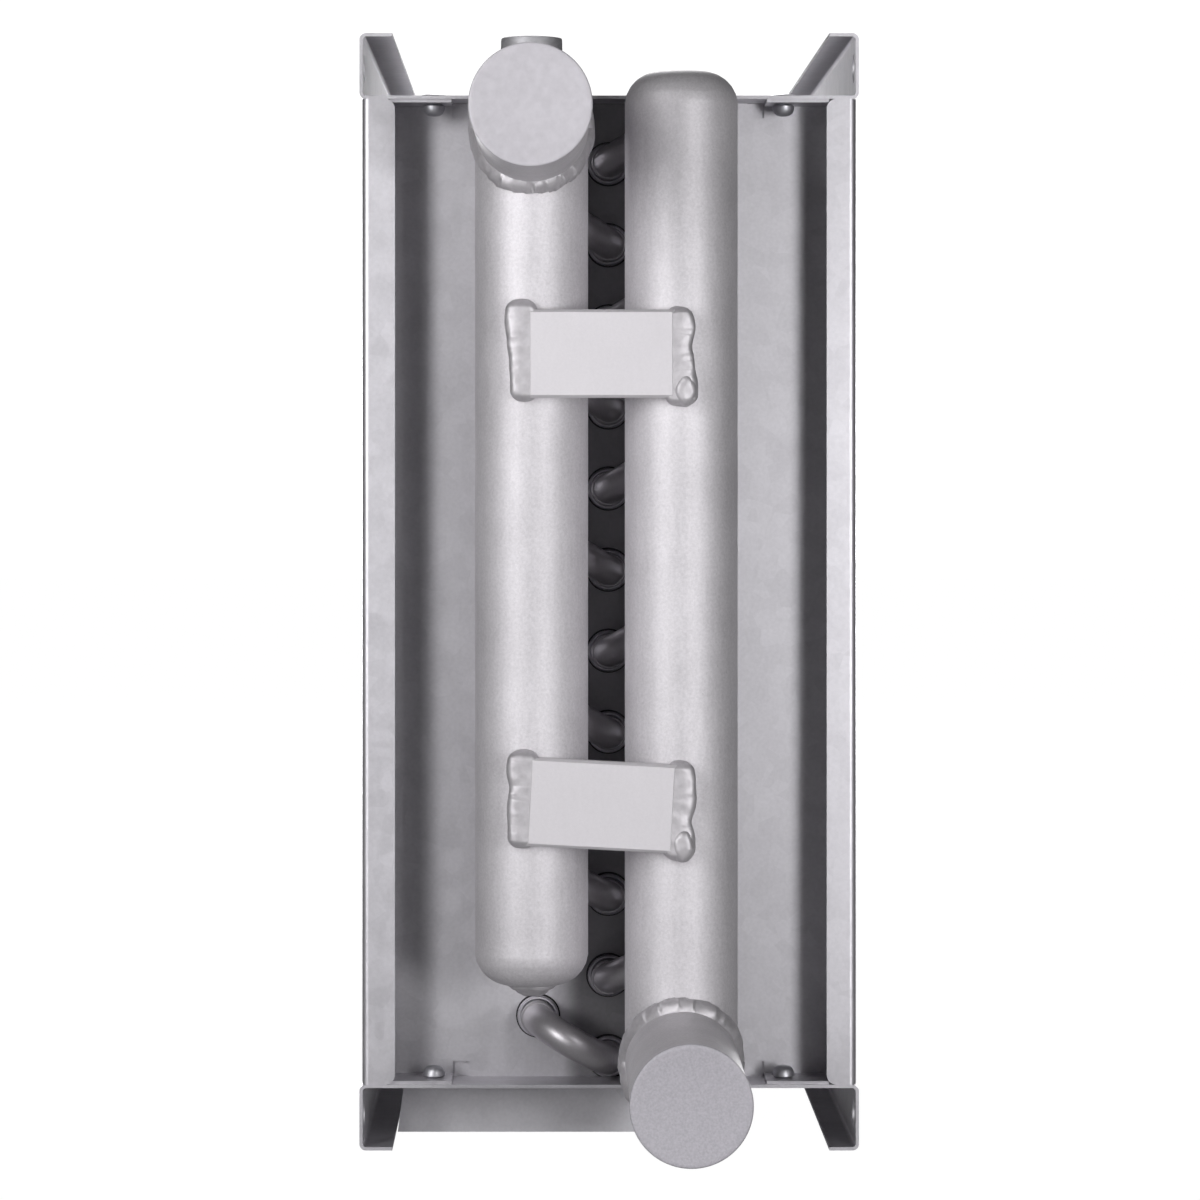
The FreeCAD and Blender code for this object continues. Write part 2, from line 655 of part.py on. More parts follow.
def stiffener():
    """A folded angle under the bottom panel, its free leg reaching down to the flange lips."""
    body = doc.addObject("PartDesign::Body", "bottom_stiffener_angle")
    near = "-(duct_width / 2 + flange_height) + angle_setback"
    top = "-(duct_height / 2 + sheet_gauge)"
    foot = "-(duct_height / 2 + flange_height) + foot_gap"
    outline = [(near, foot), (f"{near} + sheet_gauge", foot), (f"{near} + sheet_gauge", f"{top} - sheet_gauge"),
               (f"{near} + angle_leg", f"{top} - sheet_gauge"), (f"{near} + angle_leg", top), (near, top)]
    section = outline_sketch(body, "angle_section", "YZ_Plane", [outline])
    pad = pad_across(body, "angle_pad", section, "angle_length")
    doc.recompute()
    y = -size("duct_width") / 2 - size("flange_height") + size("angle_setback")
    z = -size("duct_height") / 2 - size("sheet_gauge")
    gauge = size("sheet_gauge")
    outside = round_edges(body, "angle_outer_fold", pad,
                          edges_at(pad, [Vector(0, y, z)], X_AXIS), "fold_radius")
    doc.recompute()
    round_edges(body, "angle_inner_fold", outside,
                edges_at(outside, [Vector(0, y + gauge, z - gauge)], X_AXIS), "fold_radius - sheet_gauge")
    place(body, "lip_width + angle_gap + angle_length / 2")
    return body


def build():
    """Every sub-part, in the order in which the coil is put together."""
    parts = [duct_panel("top_panel", 1), duct_panel("bottom_panel", -1),
             tube_plate("header_side_tube_plate", -1), tube_plate("far_side_tube_plate", 1),
             fin_pack()]
    parts += [hairpin_tubes(row) for row in range(len(ROWS))]
    parts += [return_bends(0, 1), return_bends(2, 0)]
    for name in HEADERS:
        pipe, outer = header_pipe(name)
        parts += [pipe, feeders(name), connection_stub(name, outer), protective_cap(name)]
        parts += socket_and_plug(name)
    parts += [tie_bar("upper_tie_bar", "upper_bar_rise", ""),
              tie_bar("lower_tie_bar", "-lower_bar_drop", "lower_bar_tilt"),
              rivets("header_side_rivets", -1), rivets("far_side_rivets", 1), stiffener()]
    return parts


def check_and_write(parts):
    """Stop on any failed object or bad shape, then write one STEP file for each sub-part."""
    doc.recompute()
    for item in doc.Objects:
        if "Invalid" in item.State or "Error" in item.State:
            raise RuntimeError(f"{item.Name} failed: {item.State}")
    for part in parts:
        if part.Shape.isNull() or not part.Shape.isValid() or not part.Shape.Solids:
            raise RuntimeError(f"{part.Label} has no sound shape")
    os.makedirs("parts", exist_ok=True)
    for part in parts:
        part.Shape.exportStep(f"parts/{part.Label}.step")
        print(f"{part.Label}: {len(part.Shape.Solids)} solid(s), {part.Shape.Volume / 1000:.1f} cm3")


check_and_write(build())
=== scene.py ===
# %% [markdown]
# # A duct water heating coil
# Hot water runs through copper tubes in a pack of aluminium fins, and the air of a ventilation duct takes up the
# heat. The CAD model already has every solid in its place, so this script never moves one. It gives the casing its
# zinc, and it makes new, finer pieces for what the solids only outline: spun pipe ends, welds, thin fins and bent
# tubes. Every place comes from the boxes of the CAD nodes, in metres.

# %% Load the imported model
import math

import bmesh
import bpy
from mathutils import Matrix, Vector, noise


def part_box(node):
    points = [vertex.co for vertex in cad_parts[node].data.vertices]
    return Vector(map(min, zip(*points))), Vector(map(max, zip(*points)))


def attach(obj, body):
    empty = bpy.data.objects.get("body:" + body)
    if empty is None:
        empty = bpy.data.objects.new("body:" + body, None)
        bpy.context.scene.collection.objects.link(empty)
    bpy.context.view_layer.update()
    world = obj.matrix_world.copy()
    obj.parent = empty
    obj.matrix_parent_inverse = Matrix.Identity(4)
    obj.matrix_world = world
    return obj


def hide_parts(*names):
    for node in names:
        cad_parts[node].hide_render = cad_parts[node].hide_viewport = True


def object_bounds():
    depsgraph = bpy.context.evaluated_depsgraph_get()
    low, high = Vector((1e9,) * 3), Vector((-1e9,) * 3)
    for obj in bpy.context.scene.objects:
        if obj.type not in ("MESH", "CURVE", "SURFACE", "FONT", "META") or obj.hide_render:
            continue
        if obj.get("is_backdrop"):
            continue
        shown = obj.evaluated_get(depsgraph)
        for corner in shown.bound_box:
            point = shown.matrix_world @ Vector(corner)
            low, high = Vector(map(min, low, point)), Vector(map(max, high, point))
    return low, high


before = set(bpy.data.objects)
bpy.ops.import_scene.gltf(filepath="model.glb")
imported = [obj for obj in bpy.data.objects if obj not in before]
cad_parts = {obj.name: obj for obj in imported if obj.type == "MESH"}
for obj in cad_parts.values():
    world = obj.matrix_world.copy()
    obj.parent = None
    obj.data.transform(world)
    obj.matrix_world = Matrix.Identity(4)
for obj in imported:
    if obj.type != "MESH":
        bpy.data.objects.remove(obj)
cad_low, cad_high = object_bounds()
scene = bpy.context.scene
MM = 0.001


def centre_of(node):
    """The middle of a CAD node's box."""
    low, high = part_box(node)
    return (low + high) / 2


print("CAD nodes:", len(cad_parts), "box in mm:", [round((h - l) / MM, 1) for l, h in zip(cad_low, cad_high)])

# %% [markdown]
# ## The camera
# The photograph looks straight at the end of the coil that has the headers, from about 1.3 m in front of them. All
# upright edges in it are parallel, so the camera doesn't tilt. It stands a little above the middle, and the lens is
# shifted to frame the coil, as a view camera does.

# %% Camera
camera_data = bpy.data.cameras.new("camera")
camera_data.sensor_width = 36
camera_data.lens = 136.07
camera_data.shift_x = 0.0433
camera_data.shift_y = -0.1238
camera = bpy.data.objects.new("camera", camera_data)
camera.location = (0.0574, -1.650, 0.0427)
camera.rotation_euler = (math.radians(90), 0, 0)
scene.collection.objects.link(camera)
scene.camera = camera
print("camera distance to the headers:", round(centre_of("return_header_pipe").y - camera.location.y, 3), "m")

# %% [markdown]
# ## Two small helpers
# Blender's sockets take linear light, and colours are easier to read as sRGB hex. One function turns the one into
# the other. The second adds a node, sets its values and joins it to the nodes that feed it, so that a finish reads
# from top to bottom.

# %% Colour and node helpers


def srgb(code):
    """An sRGB hex colour as linear RGBA."""
    parts = [int(code[i:i + 2], 16) / 255 for i in (1, 3, 5)]
    return (*[p / 12.92 if p <= 0.04045 else ((p + 0.055) / 1.055) ** 2.4 for p in parts], 1)


def add(tree, kind, settings=None, links=None):
    """One node with its settings; links maps an input socket to the output that feeds it."""
    node = tree.nodes.new(kind)
    for name, value in (settings or {}).items():
        if isinstance(name, int) or name in node.inputs:
            node.inputs[name].default_value = value
        else:
            setattr(node, name, value)
    for socket, source in (links or {}).items():
        tree.links.new(source, node.inputs[socket])
    return node


def new_finish(name):
    """An empty material, its tree and the object coordinates that its patterns are laid on."""
    material = bpy.data.materials.new(name)
    material.use_nodes = True
    tree = material.node_tree
    tree.nodes.clear()
    return material, tree, add(tree, "ShaderNodeTexCoord").outputs["Object"]


# %% [markdown]
# ## The studio
# The coil stands on a pale floor in front of a white ground. Soft lights stand left and right of the camera, most of
# them low. They make the two bright stripes on each pipe, and because hardly any other light comes back, the gap
# between the pipes stays nearly black. White walls would fill that gap, so the floor and the ground are white only
# where the camera sees them, and dim for the light that they send back. Two low lights behind the coil do what the
# white ground does in a real studio: they shine along the inside of the upper flanges. Each light's place and power
# were fitted to the brightness of the photo's regions, one light at a time. The last three stand so far back that
# the casing keeps them off the headers; they are there for whoever walks round the coil.

# %% Floor and ground
PALE = srgb("#FFFFFF")
floor_finish, tree, _ = new_finish("studio_floor")
seen = add(tree, "ShaderNodeLightPath").outputs["Is Camera Ray"]
share = add(tree, "ShaderNodeMath", {"operation": "MULTIPLY", 1: 0.9}, {0: seen})
bounce = add(tree, "ShaderNodeBsdfDiffuse", {"Color": srgb("#6E6E70")})
sheen = add(tree, "ShaderNodeEmission", {"Color": PALE, "Strength": 0.12})
dim = add(tree, "ShaderNodeAddShader", None, {0: bounce.outputs[0], 1: sheen.outputs[0]})
glow = add(tree, "ShaderNodeEmission", {"Color": PALE, "Strength": 1.1})
mixed = add(tree, "ShaderNodeMixShader", None, {0: share.outputs[0], 1: dim.outputs[0], 2: glow.outputs[0]})
add(tree, "ShaderNodeOutputMaterial", None, {"Surface": mixed.outputs[0]})

FLOOR_REACH = 6
floor_mesh = bpy.data.meshes.new("studio_floor")
corners = [(x, y, cad_low.z) for x, y in ((-1, -1), (1, -1), (1, 1), (-1, 1))]
floor_mesh.from_pydata([(x * FLOOR_REACH, y * FLOOR_REACH, z) for x, y, z in corners], [], [(0, 1, 2, 3)])
floor_mesh.materials.append(floor_finish)
floor = bpy.data.objects.new("studio_floor", floor_mesh)
scene.collection.objects.link(floor)
floor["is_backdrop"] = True
print("floor at the coil's lowest point:", round(cad_low.z / MM, 1), "mm")

# %% White ground
world = bpy.data.worlds.new("white_ground")
scene.world = world
world.use_nodes = True
tree = world.node_tree
tree.nodes.clear()
seen = add(tree, "ShaderNodeLightPath").outputs["Is Camera Ray"]
dim = add(tree, "ShaderNodeBackground", {"Color": PALE, "Strength": 0.005})
white = add(tree, "ShaderNodeBackground", {"Color": PALE, "Strength": 1.1})
mixed = add(tree, "ShaderNodeMixShader", None, {0: seen, 1: dim.outputs[0], 2: white.outputs[0]})
add(tree, "ShaderNodeOutputWorld", None, {"Surface": mixed.outputs[0]})
scene.view_settings.view_transform = "Standard"
print("view transform:", scene.view_settings.view_transform)

# %% Soft lights
FACING = Vector((0.076, -0.300, 0.0))  # a point between the headers, which every light faces
LIGHTS = {  # place, width, height, watts
    "near_left": ((-0.232, -0.694, 0.26), 0.08, 0.15, 0.55),
    "near_right": ((0.311, -0.741, 0.08), 0.08, 0.15, 0.28),
    "left": ((-0.601, -1.167, 0.15), 0.18, 0.33, 2.5),
    "low_left": ((-0.440, -1.271, -0.04), 0.18, 0.25, 0.75),
    "low_right": ((0.592, -1.271, -0.04), 0.18, 0.25, 3.3),
    "tall_left": ((-0.441, -1.037, 0.15), 0.16, 1.05, 2.3),
    "tall_right": ((0.793, -1.841, 0.25), 0.31, 1.45, 3.3),
    "back_left": ((-0.40, 1.80, 0.12), 0.40, 0.30, 3.4),
    "back_right": ((0.55, 1.80, 0.12), 0.40, 0.30, 4.4),
    "side_left": ((-0.95, 1.90, -0.05), 0.45, 0.40, 20),
    "side_right": ((1.10, 1.90, -0.05), 0.45, 0.40, 20),
    "overhead": ((0.076, 1.60, 1.10), 0.25, 0.80, 14),
}
for name, (place, wide, tall, watts) in LIGHTS.items():
    lamp = bpy.data.lights.new(name, "AREA")
    lamp.shape = "RECTANGLE"
    lamp.size = wide
    lamp.size_y = tall
    lamp.energy = watts
    light = bpy.data.objects.new(name, lamp)
    light.location = place
    light.rotation_euler = (FACING - Vector(place)).to_track_quat("-Z", "Y").to_euler()
    light.visible_camera = False
    scene.collection.objects.link(light)
print("lights:", ", ".join(LIGHTS))

# %% [markdown]
# ## Galvanised sheet steel
# The casing is folded from steel sheet that was dipped in molten zinc and then rolled smooth. Zinc freezes in flat
# crystals, and rolling leaves them as a faint mottle: neighbouring patches a few millimetres wide, a little lighter
# or darker, over a fine grain. The eye reads that as a dull, slightly cloudy metal. A Voronoi pattern has cells with
# one value each, as crystals do, so it gives the patches. On the plate at the header side a strip between the headers
# is darkened, as painted shade, and the stiffener's sheet is drawn paler, as painted light.

# %% Finish: galvanised sheet
PAINTED_SHADE_MIDDLE_X = centre_of("fin_pack").x
PAINTED_SHADE_FULL = 8 * MM  # half the width that is evenly dark
PAINTED_SHADE_GONE = 15 * MM  # and how far out the last of it reaches


def galvanised(name, dark, light, metal, gap_shade=1.0):
    """Galvanised sheet between two tones; the last argument, below 1, darkens the strip between the headers as
    painted shade.
    """
    sheet, tree, place = new_finish(name)
    crystals = add(tree, "ShaderNodeTexVoronoi", {"Scale": 1 / (5 * MM), "Randomness": 1.0}, {"Vector": place})
    patch = add(tree, "ShaderNodeSeparateColor", None, {0: crystals.outputs["Color"]})
    grain = add(tree, "ShaderNodeTexNoise", {"Scale": 1 / (1.1 * MM), "Detail": 3.0}, {"Vector": place})
    clouds = add(tree, "ShaderNodeTexNoise", {"Scale": 1 / (24 * MM), "Detail": 2.0}, {"Vector": place})
    mottle = add(tree, "ShaderNodeMath", {"operation": "MULTIPLY_ADD", 1: 0.35},
                 {0: patch.outputs[0], 2: grain.outputs["Fac"]})
    tone = add(tree, "ShaderNodeMath", {"operation": "MULTIPLY_ADD", 1: 0.6},
               {0: clouds.outputs["Fac"], 2: mottle.outputs[0]})
    colour = add(tree, "ShaderNodeValToRGB", None, {0: add(
        tree, "ShaderNodeMapRange", {"From Min": 0.35, "From Max": 1.65}, {"Value": tone.outputs[0]}).outputs[0]})
    colour.color_ramp.elements[0].color = srgb(dark)
    colour.color_ramp.elements[1].color = srgb(light)
    rough = add(tree, "ShaderNodeMapRange", {"To Min": 0.44, "To Max": 0.50}, {"Value": patch.outputs[1]})
    bump = add(tree, "ShaderNodeBump", {"Strength": 1.0, "Distance": 0.012 * MM}, {"Height": grain.outputs["Fac"]})
    # Painted shade: the strip round the middle of the coil, between the headers, is darkened by the last argument.
    across = add(tree, "ShaderNodeSeparateXYZ", None, {0: place})
    aside = add(tree, "ShaderNodeMath", {"operation": "SUBTRACT", 1: PAINTED_SHADE_MIDDLE_X}, {0: across.outputs["X"]})
    aside = add(tree, "ShaderNodeMath", {"operation": "ABSOLUTE"}, {0: aside.outputs[0]})
    unshaded = add(tree, "ShaderNodeMapRange", {
        "interpolation_type": "SMOOTHSTEP", "From Min": PAINTED_SHADE_FULL, "From Max": PAINTED_SHADE_GONE,
        "To Min": gap_shade, "To Max": 1.0}, {"Value": aside.outputs[0]})
    with_painted_shade = add(tree, "ShaderNodeVectorMath", {"operation": "SCALE"},
                  {0: colour.outputs[0], "Scale": unshaded.outputs[0]})
    shader = add(tree, "ShaderNodeBsdfPrincipled", {"Metallic": metal},
                 {"Base Color": with_painted_shade.outputs[0], "Roughness": rough.outputs[0], "Normal": bump.outputs[0]})
    add(tree, "ShaderNodeOutputMaterial", None, {"Surface": shader.outputs[0]})
    return sheet


zinc_sheet = galvanised("galvanised_sheet", "#C0BEC3", "#D7D5DA", 0.9)
# The header-side plate's copy darkens the strip between the headers: painted shade.
gap_shaded_sheet = galvanised("galvanised_sheet_with_painted_shade", "#C0BEC3", "#D7D5DA", 0.9, gap_shade=0.4)
# The stiffener's copy is drawn paler: painted light, standing for light that falls on it under the bottom panel.
lightened_sheet = galvanised("galvanised_sheet_with_painted_light", "#D0CED3", "#E4E2E7", 0.6)
print("sheet finishes:", zinc_sheet.name, gap_shaded_sheet.name, lightened_sheet.name)

# %% [markdown]
# ## Aluminium paint on steel pipe
# The headers, their stubs and the bars between them are black steel pipe and flat bar, sprayed with aluminium paint
# after welding. Flat metal flakes lie in a clear binder: seen square on the paint is bright, and it falls off softly
# to a mid grey at the sides, which is between a metal and a matt paint. The coat has a fine grain of flakes, an
# orange peel of a millimetre or two, and here and there a nib of dust. It lies calmer on the flat bars. The bends
# behind them caught only a thin film, so smooth metal still shows through: darker, with sharp highlights.

# %% Finish: aluminium paint
def sprayed(name, grain, dark, light, metal, rough):
    """Aluminium paint; grain 1 is the coat on pipe, less is calmer."""
    paint, tree, place = new_finish(name)
    flakes = add(tree, "ShaderNodeTexNoise", {"Scale": 1 / (0.8 * MM), "Detail": 4.0, "Roughness": 0.7},
                 {"Vector": place})
    drawn = add(tree, "ShaderNodeMapping", {"Scale": (1.0, 1.0, 0.16)}, {"Vector": place})
    streaks = add(tree, "ShaderNodeTexNoise", {"Scale": 1 / (1.6 * MM), "Detail": 3.0}, {"Vector": drawn.outputs[0]})
    clouds = add(tree, "ShaderNodeTexNoise", {"Scale": 1 / (22 * MM), "Detail": 2.0}, {"Vector": place})
    tone = add(tree, "ShaderNodeMath", {"operation": "MULTIPLY_ADD", 1: 0.25},
               {0: streaks.outputs["Fac"], 2: flakes.outputs["Fac"]})
    tone = add(tree, "ShaderNodeMath", {"operation": "MULTIPLY_ADD", 1: 0.5},
               {0: clouds.outputs["Fac"], 2: tone.outputs[0]})
    middle, spread = 0.875, 0.33 / grain  # the middle of the three noises' sum; less grain, less contrast
    evened = add(tree, "ShaderNodeMapRange", {"From Min": middle - spread, "From Max": middle + spread},
                 {"Value": tone.outputs[0]})
    colour = add(tree, "ShaderNodeValToRGB", None, {0: evened.outputs[0]})
    colour.color_ramp.elements[0].color = srgb(dark)
    colour.color_ramp.elements[1].color = srgb(light)
    peel = add(tree, "ShaderNodeTexNoise", {"Scale": 1 / (1.5 * MM), "Detail": 2.0}, {"Vector": place})
    dust = add(tree, "ShaderNodeTexVoronoi", {"Scale": 1 / (5 * MM)}, {"Vector": place})
    nib = add(tree, "ShaderNodeMapRange", {"From Min": 0.10, "From Max": 0.04, "To Max": 1.5},
              {"Value": dust.outputs["Distance"]})
    height = add(tree, "ShaderNodeMath", {"operation": "ADD"}, {0: peel.outputs["Fac"], 1: nib.outputs[0]})
    bump = add(tree, "ShaderNodeBump", {"Strength": 1.0, "Distance": 0.05 * MM * grain},
               {"Height": height.outputs[0]})
    shader = add(tree, "ShaderNodeBsdfPrincipled", {"Metallic": metal, "Roughness": rough},
                 {"Base Color": colour.outputs[0], "Normal": bump.outputs[0]})
    add(tree, "ShaderNodeOutputMaterial", None, {"Surface": shader.outputs[0]})
    return paint


silver_paint = sprayed("aluminium_paint", 1.0, "#C1BEC2", "#E0DDE1", 0.5, 0.60)
bar_paint = sprayed("aluminium_paint_on_flat_bar", 0.25, "#C4C1C5", "#E2DFE3", 0.5, 0.60)
tube_paint = sprayed("aluminium_paint_on_tube", 0.4, "#A5A2A6", "#C8C5C9", 0.75, 0.42)
print("paints:", silver_paint.name, bar_paint.name, tube_paint.name)

# %% [markdown]
# ## Aluminium paint on a weld
# The same paint went over the weld beads. Their surface is glassy under the coat, because molten metal leaves no
# orange peel, so the finish is smoother and throws small glints.

# %% Finish: painted weld
painted_weld, tree, place = new_finish("painted_weld")
scale_skin = add(tree, "ShaderNodeTexNoise", {"Scale": 1 / (2.2 * MM), "Detail": 4.0}, {"Vector": place})
colour = add(tree, "ShaderNodeValToRGB", None, {0: scale_skin.outputs["Fac"]})
colour.color_ramp.elements[0].color = srgb("#A9A6AA")
colour.color_ramp.elements[1].color = srgb("#D2CFD3")
bump = add(tree, "ShaderNodeBump", {"Strength": 1.0, "Distance": 0.10 * MM}, {"Height": scale_skin.outputs["Fac"]})
shader = add(tree, "ShaderNodeBsdfPrincipled", {"Metallic": 0.5, "Roughness": 0.50},
             {"Base Color": colour.outputs[0], "Normal": bump.outputs[0]})
add(tree, "ShaderNodeOutputMaterial", None, {"Surface": shader.outputs[0]})
print(painted_weld.name, "has", len(tree.nodes), "nodes")

# %% [markdown]
# ## Moulded polyethylene caps
# Soft grey plastic caps close the two stubs for shipping. Polyethylene is dull and a little waxy. One cap is smooth
# and pale; the other came out of a blasted mould and shows a grain of about half a millimetre, and it is drawn
# darker.

# %% Finishes: cap plastic
cap_finishes = {}
for name, dark, light, grit, relief in (
    ("smooth_polyethylene", "#B5B2B8", "#BFBCC2", 2.2, 0.010),
    ("grained_polyethylene", "#A6A3AA", "#B6B3BA", 0.6, 0.035),
):
    cap_finishes[name], tree, place = new_finish(name)
    mould = add(tree, "ShaderNodeTexNoise", {"Scale": 1 / (grit * MM), "Detail": 3.0}, {"Vector": place})
    colour = add(tree, "ShaderNodeValToRGB", None, {0: add(
        tree, "ShaderNodeMapRange", {"From Min": 0.3, "From Max": 0.7}, {"Value": mould.outputs["Fac"]}).outputs[0]})
    colour.color_ramp.elements[0].color = srgb(dark)
    colour.color_ramp.elements[1].color = srgb(light)
    bump = add(tree, "ShaderNodeBump", {"Strength": 1.0, "Distance": relief * MM}, {"Height": mould.outputs["Fac"]})
    shader = add(tree, "ShaderNodeBsdfPrincipled", {"Metallic": 0.0, "Roughness": 0.55, "IOR": 1.51},
                 {"Base Color": colour.outputs[0], "Normal": bump.outputs[0]})
    add(tree, "ShaderNodeOutputMaterial", None, {"Surface": shader.outputs[0]})
print("cap finishes:", *cap_finishes)

# %% [markdown]
# ## Bare metals
# Four more metals need only small differences of colour and polish: fin foil as it comes from the rolling mill,
# drawn copper tube with a few warm stains from the brazing torch, turned steel fittings with fine rings from the
# lathe tool, and the zinc plating of the blind rivets. Fin foil has rolling lines along the strip, which runs up the
# fin. The last row is a matt near-black: painted shade for the thin dark ring round each tube's collar.

# %% Finishes: foil, copper, turned steel, plated rivets, painted collar shade
bare = {}
for name, dark, light, stretch, size, low, high, relief, metal in (
    ("rolled_aluminium_foil", "#D8DADD", "#EEF0F2", (1.0, 1.0, 0.05), 1.0, 0.30, 0.45, 0.004, 0.7),
    ("drawn_copper", "#A65B3C", "#CB8461", (1.0, 0.08, 1.0), 3.0, 0.24, 0.40, 0.004, 1.0),
    ("turned_steel", "#A3A2A6", "#C6C5C9", (1.0, 1.0, 2.0), 1.6, 0.50, 0.66, 0.030, 0.7),
    ("zinc_plated_rivet", "#B4B4B9", "#CDCDD2", (1.0, 1.0, 1.0), 2.0, 0.42, 0.54, 0.006, 0.9),
    ("brazing_soot", "#232224", "#353336", (1.0, 1.0, 1.0), 2.0, 0.85, 0.95, 0.020, 0.0),
):
    bare[name], tree, place = new_finish(name)
    lay = add(tree, "ShaderNodeMapping", {"Scale": stretch}, {"Vector": place})
    marks = add(tree, "ShaderNodeTexNoise", {"Scale": 1 / (size * MM), "Detail": 4.0}, {"Vector": lay.outputs[0]})
    colour = add(tree, "ShaderNodeValToRGB", None, {0: marks.outputs["Fac"]})
    colour.color_ramp.elements[0].color = srgb(dark)
    colour.color_ramp.elements[1].color = srgb(light)
    rough = add(tree, "ShaderNodeMapRange", {"To Min": low, "To Max": high}, {"Value": marks.outputs["Fac"]})
    bump = add(tree, "ShaderNodeBump", {"Strength": 1.0, "Distance": relief * MM}, {"Height": marks.outputs["Fac"]})
    shader = add(tree, "ShaderNodeBsdfPrincipled", {"Metallic": metal},
                 {"Base Color": colour.outputs[0], "Roughness": rough.outputs[0], "Normal": bump.outputs[0]})
    add(tree, "ShaderNodeOutputMaterial", None, {"Surface": shader.outputs[0]})
print("finishes:", len(bpy.data.materials))

# %% [markdown]
# ## From a mesh to a piece
# Every piece ends the same way: smooth shading with crisp edges where the surface really turns, one finish, and a
# ride on the coil's only body. Its place is in its mesh, so the object itself stays at the origin.

# %% Piece helper


def as_piece(name, mesh, finish, stands_for=(), crisp=35):
    """Makes a mesh a piece of the coil.

    An edge shows as sharp from crisp degrees on; with crisp None the mesh keeps the shading that it has.
    """
    piece = bpy.data.objects.new(name, mesh)
    scene.collection.objects.link(piece)
    if crisp is not None:
        mesh.shade_smooth()
        mesh.set_sharp_from_angle(angle=math.radians(crisp))
    mesh.materials.clear()
    mesh.materials.append(finish)
    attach(piece, "root")
    if stands_for:
        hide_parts(*stands_for)
    print(f"{name}: {len(mesh.polygons)} faces")
    return piece


# %% [markdown]
# ## The folded casing
# Two panels, two tube plates and a stiffener are folded from 1 mm sheet. Their CAD solids have the right shape, but
# they come as loose flat triangles, so a fold would show its facets. A merged copy can be shaded smooth. Merging
# alone would tilt the shading of the big flat faces next to each fold; Blender's weighted normals keep them flat,
# because a large face counts for more than a narrow one.

# %% Casing sheets


def smooth_copy(node):
    """A merged copy of a CAD node's mesh, with its normals weighted by face area."""
    body = bmesh.new()
    body.from_mesh(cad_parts[node].data)
    bmesh.ops.remove_doubles(body, verts=body.verts, dist=1e-6)
    bmesh.ops.dissolve_limit(body, angle_limit=math.radians(0.5), verts=body.verts, edges=body.edges)
    mesh = bpy.data.meshes.new(node + "_copy")
    body.to_mesh(mesh)
    body.free()
    mesh.shade_smooth()
    mesh.set_sharp_from_angle(angle=math.radians(35))
    carrier = bpy.data.objects.new(node + "_carrier", mesh)
    scene.collection.objects.link(carrier)
    weighted = carrier.modifiers.new("weighted", "WEIGHTED_NORMAL")
    weighted.keep_sharp = True
    weighted.weight = 100
    plain = bpy.data.meshes.new_from_object(carrier.evaluated_get(bpy.context.evaluated_depsgraph_get()))
    bpy.data.objects.remove(carrier)
    return plain


CUT_BACK = 2.4 * MM  # the stiffener's end leans back so far at its top, to clear the fold of the flange


def as_sheet(node, finish):
    """The smooth copy of a node as a piece."""
    mesh = smooth_copy(node)
    if node == "bottom_stiffener_angle":
        low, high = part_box(node)
        for point in mesh.vertices:
            if point.co.x < low.x + 1 * MM:
                point.co.x += CUT_BACK * (point.co.z - low.z) / (high.z - low.z)
    return as_piece(node + "_sheet", mesh, finish, [node], crisp=None)


for node in ("top_panel", "bottom_panel", "far_side_tube_plate"):
    as_sheet(node, zinc_sheet)
as_sheet("header_side_tube_plate", gap_shaded_sheet)
as_sheet("bottom_stiffener_angle", lightened_sheet)

# %% [markdown]
# ## Lugs behind the relief notches
# Beside each riveted tab the tube plate has a small square notch. It doesn't look dark, because a lug of the panel
# stands right behind it, bent up from the same sheet. The lugs are flat blocks with softened edges.

# %% Lugs
SHEET = 1 * MM
TAB_END = 28 * MM  # from an air face to the far end of a tab
NOTCH_HALF = 2.5 * MM
LUG_WIDE = 8 * MM
LUG_THICK = 0.8 * MM
LUG_GAP = 1.4 * MM - LUG_THICK / 2  # from the first fin to the middle of a lug
casing_deep = cad_high.x - cad_low.x
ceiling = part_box("top_panel")[0].z
for node, way in (("header_side_tube_plate", 1), ("far_side_tube_plate", -1)):
    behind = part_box("fin_pack")[0 if way > 0 else 1].y - way * LUG_GAP
    body = bmesh.new()
    for side_x in (TAB_END + NOTCH_HALF, casing_deep - TAB_END - NOTCH_HALF):
        for side_z in (-1, 1):
            middle = Vector((side_x, behind, side_z * (ceiling - LUG_WIDE / 2)))
            for point in bmesh.ops.create_cube(body, size=1.0)["verts"]:
                point.co = middle + point.co * Vector((LUG_WIDE, LUG_THICK, LUG_WIDE))
    bmesh.ops.bevel(body, geom=body.edges[:], offset=0.15 * MM, segments=2, affect="EDGES")
    mesh = bpy.data.meshes.new("lugs")
    body.to_mesh(mesh)
    body.free()
    as_piece(node.replace("tube_plate", "notch_lugs"), mesh, zinc_sheet, crisp=50)

# %% [markdown]
# ## Turned shapes
# Pipes, caps and sockets are round, so each is an outline turned about its axis. Spin with a modifier would do it
# too, but a few lines of mesh code close the poles exactly and need no cleaning.

# %% Lathe helper
SIDES = 96


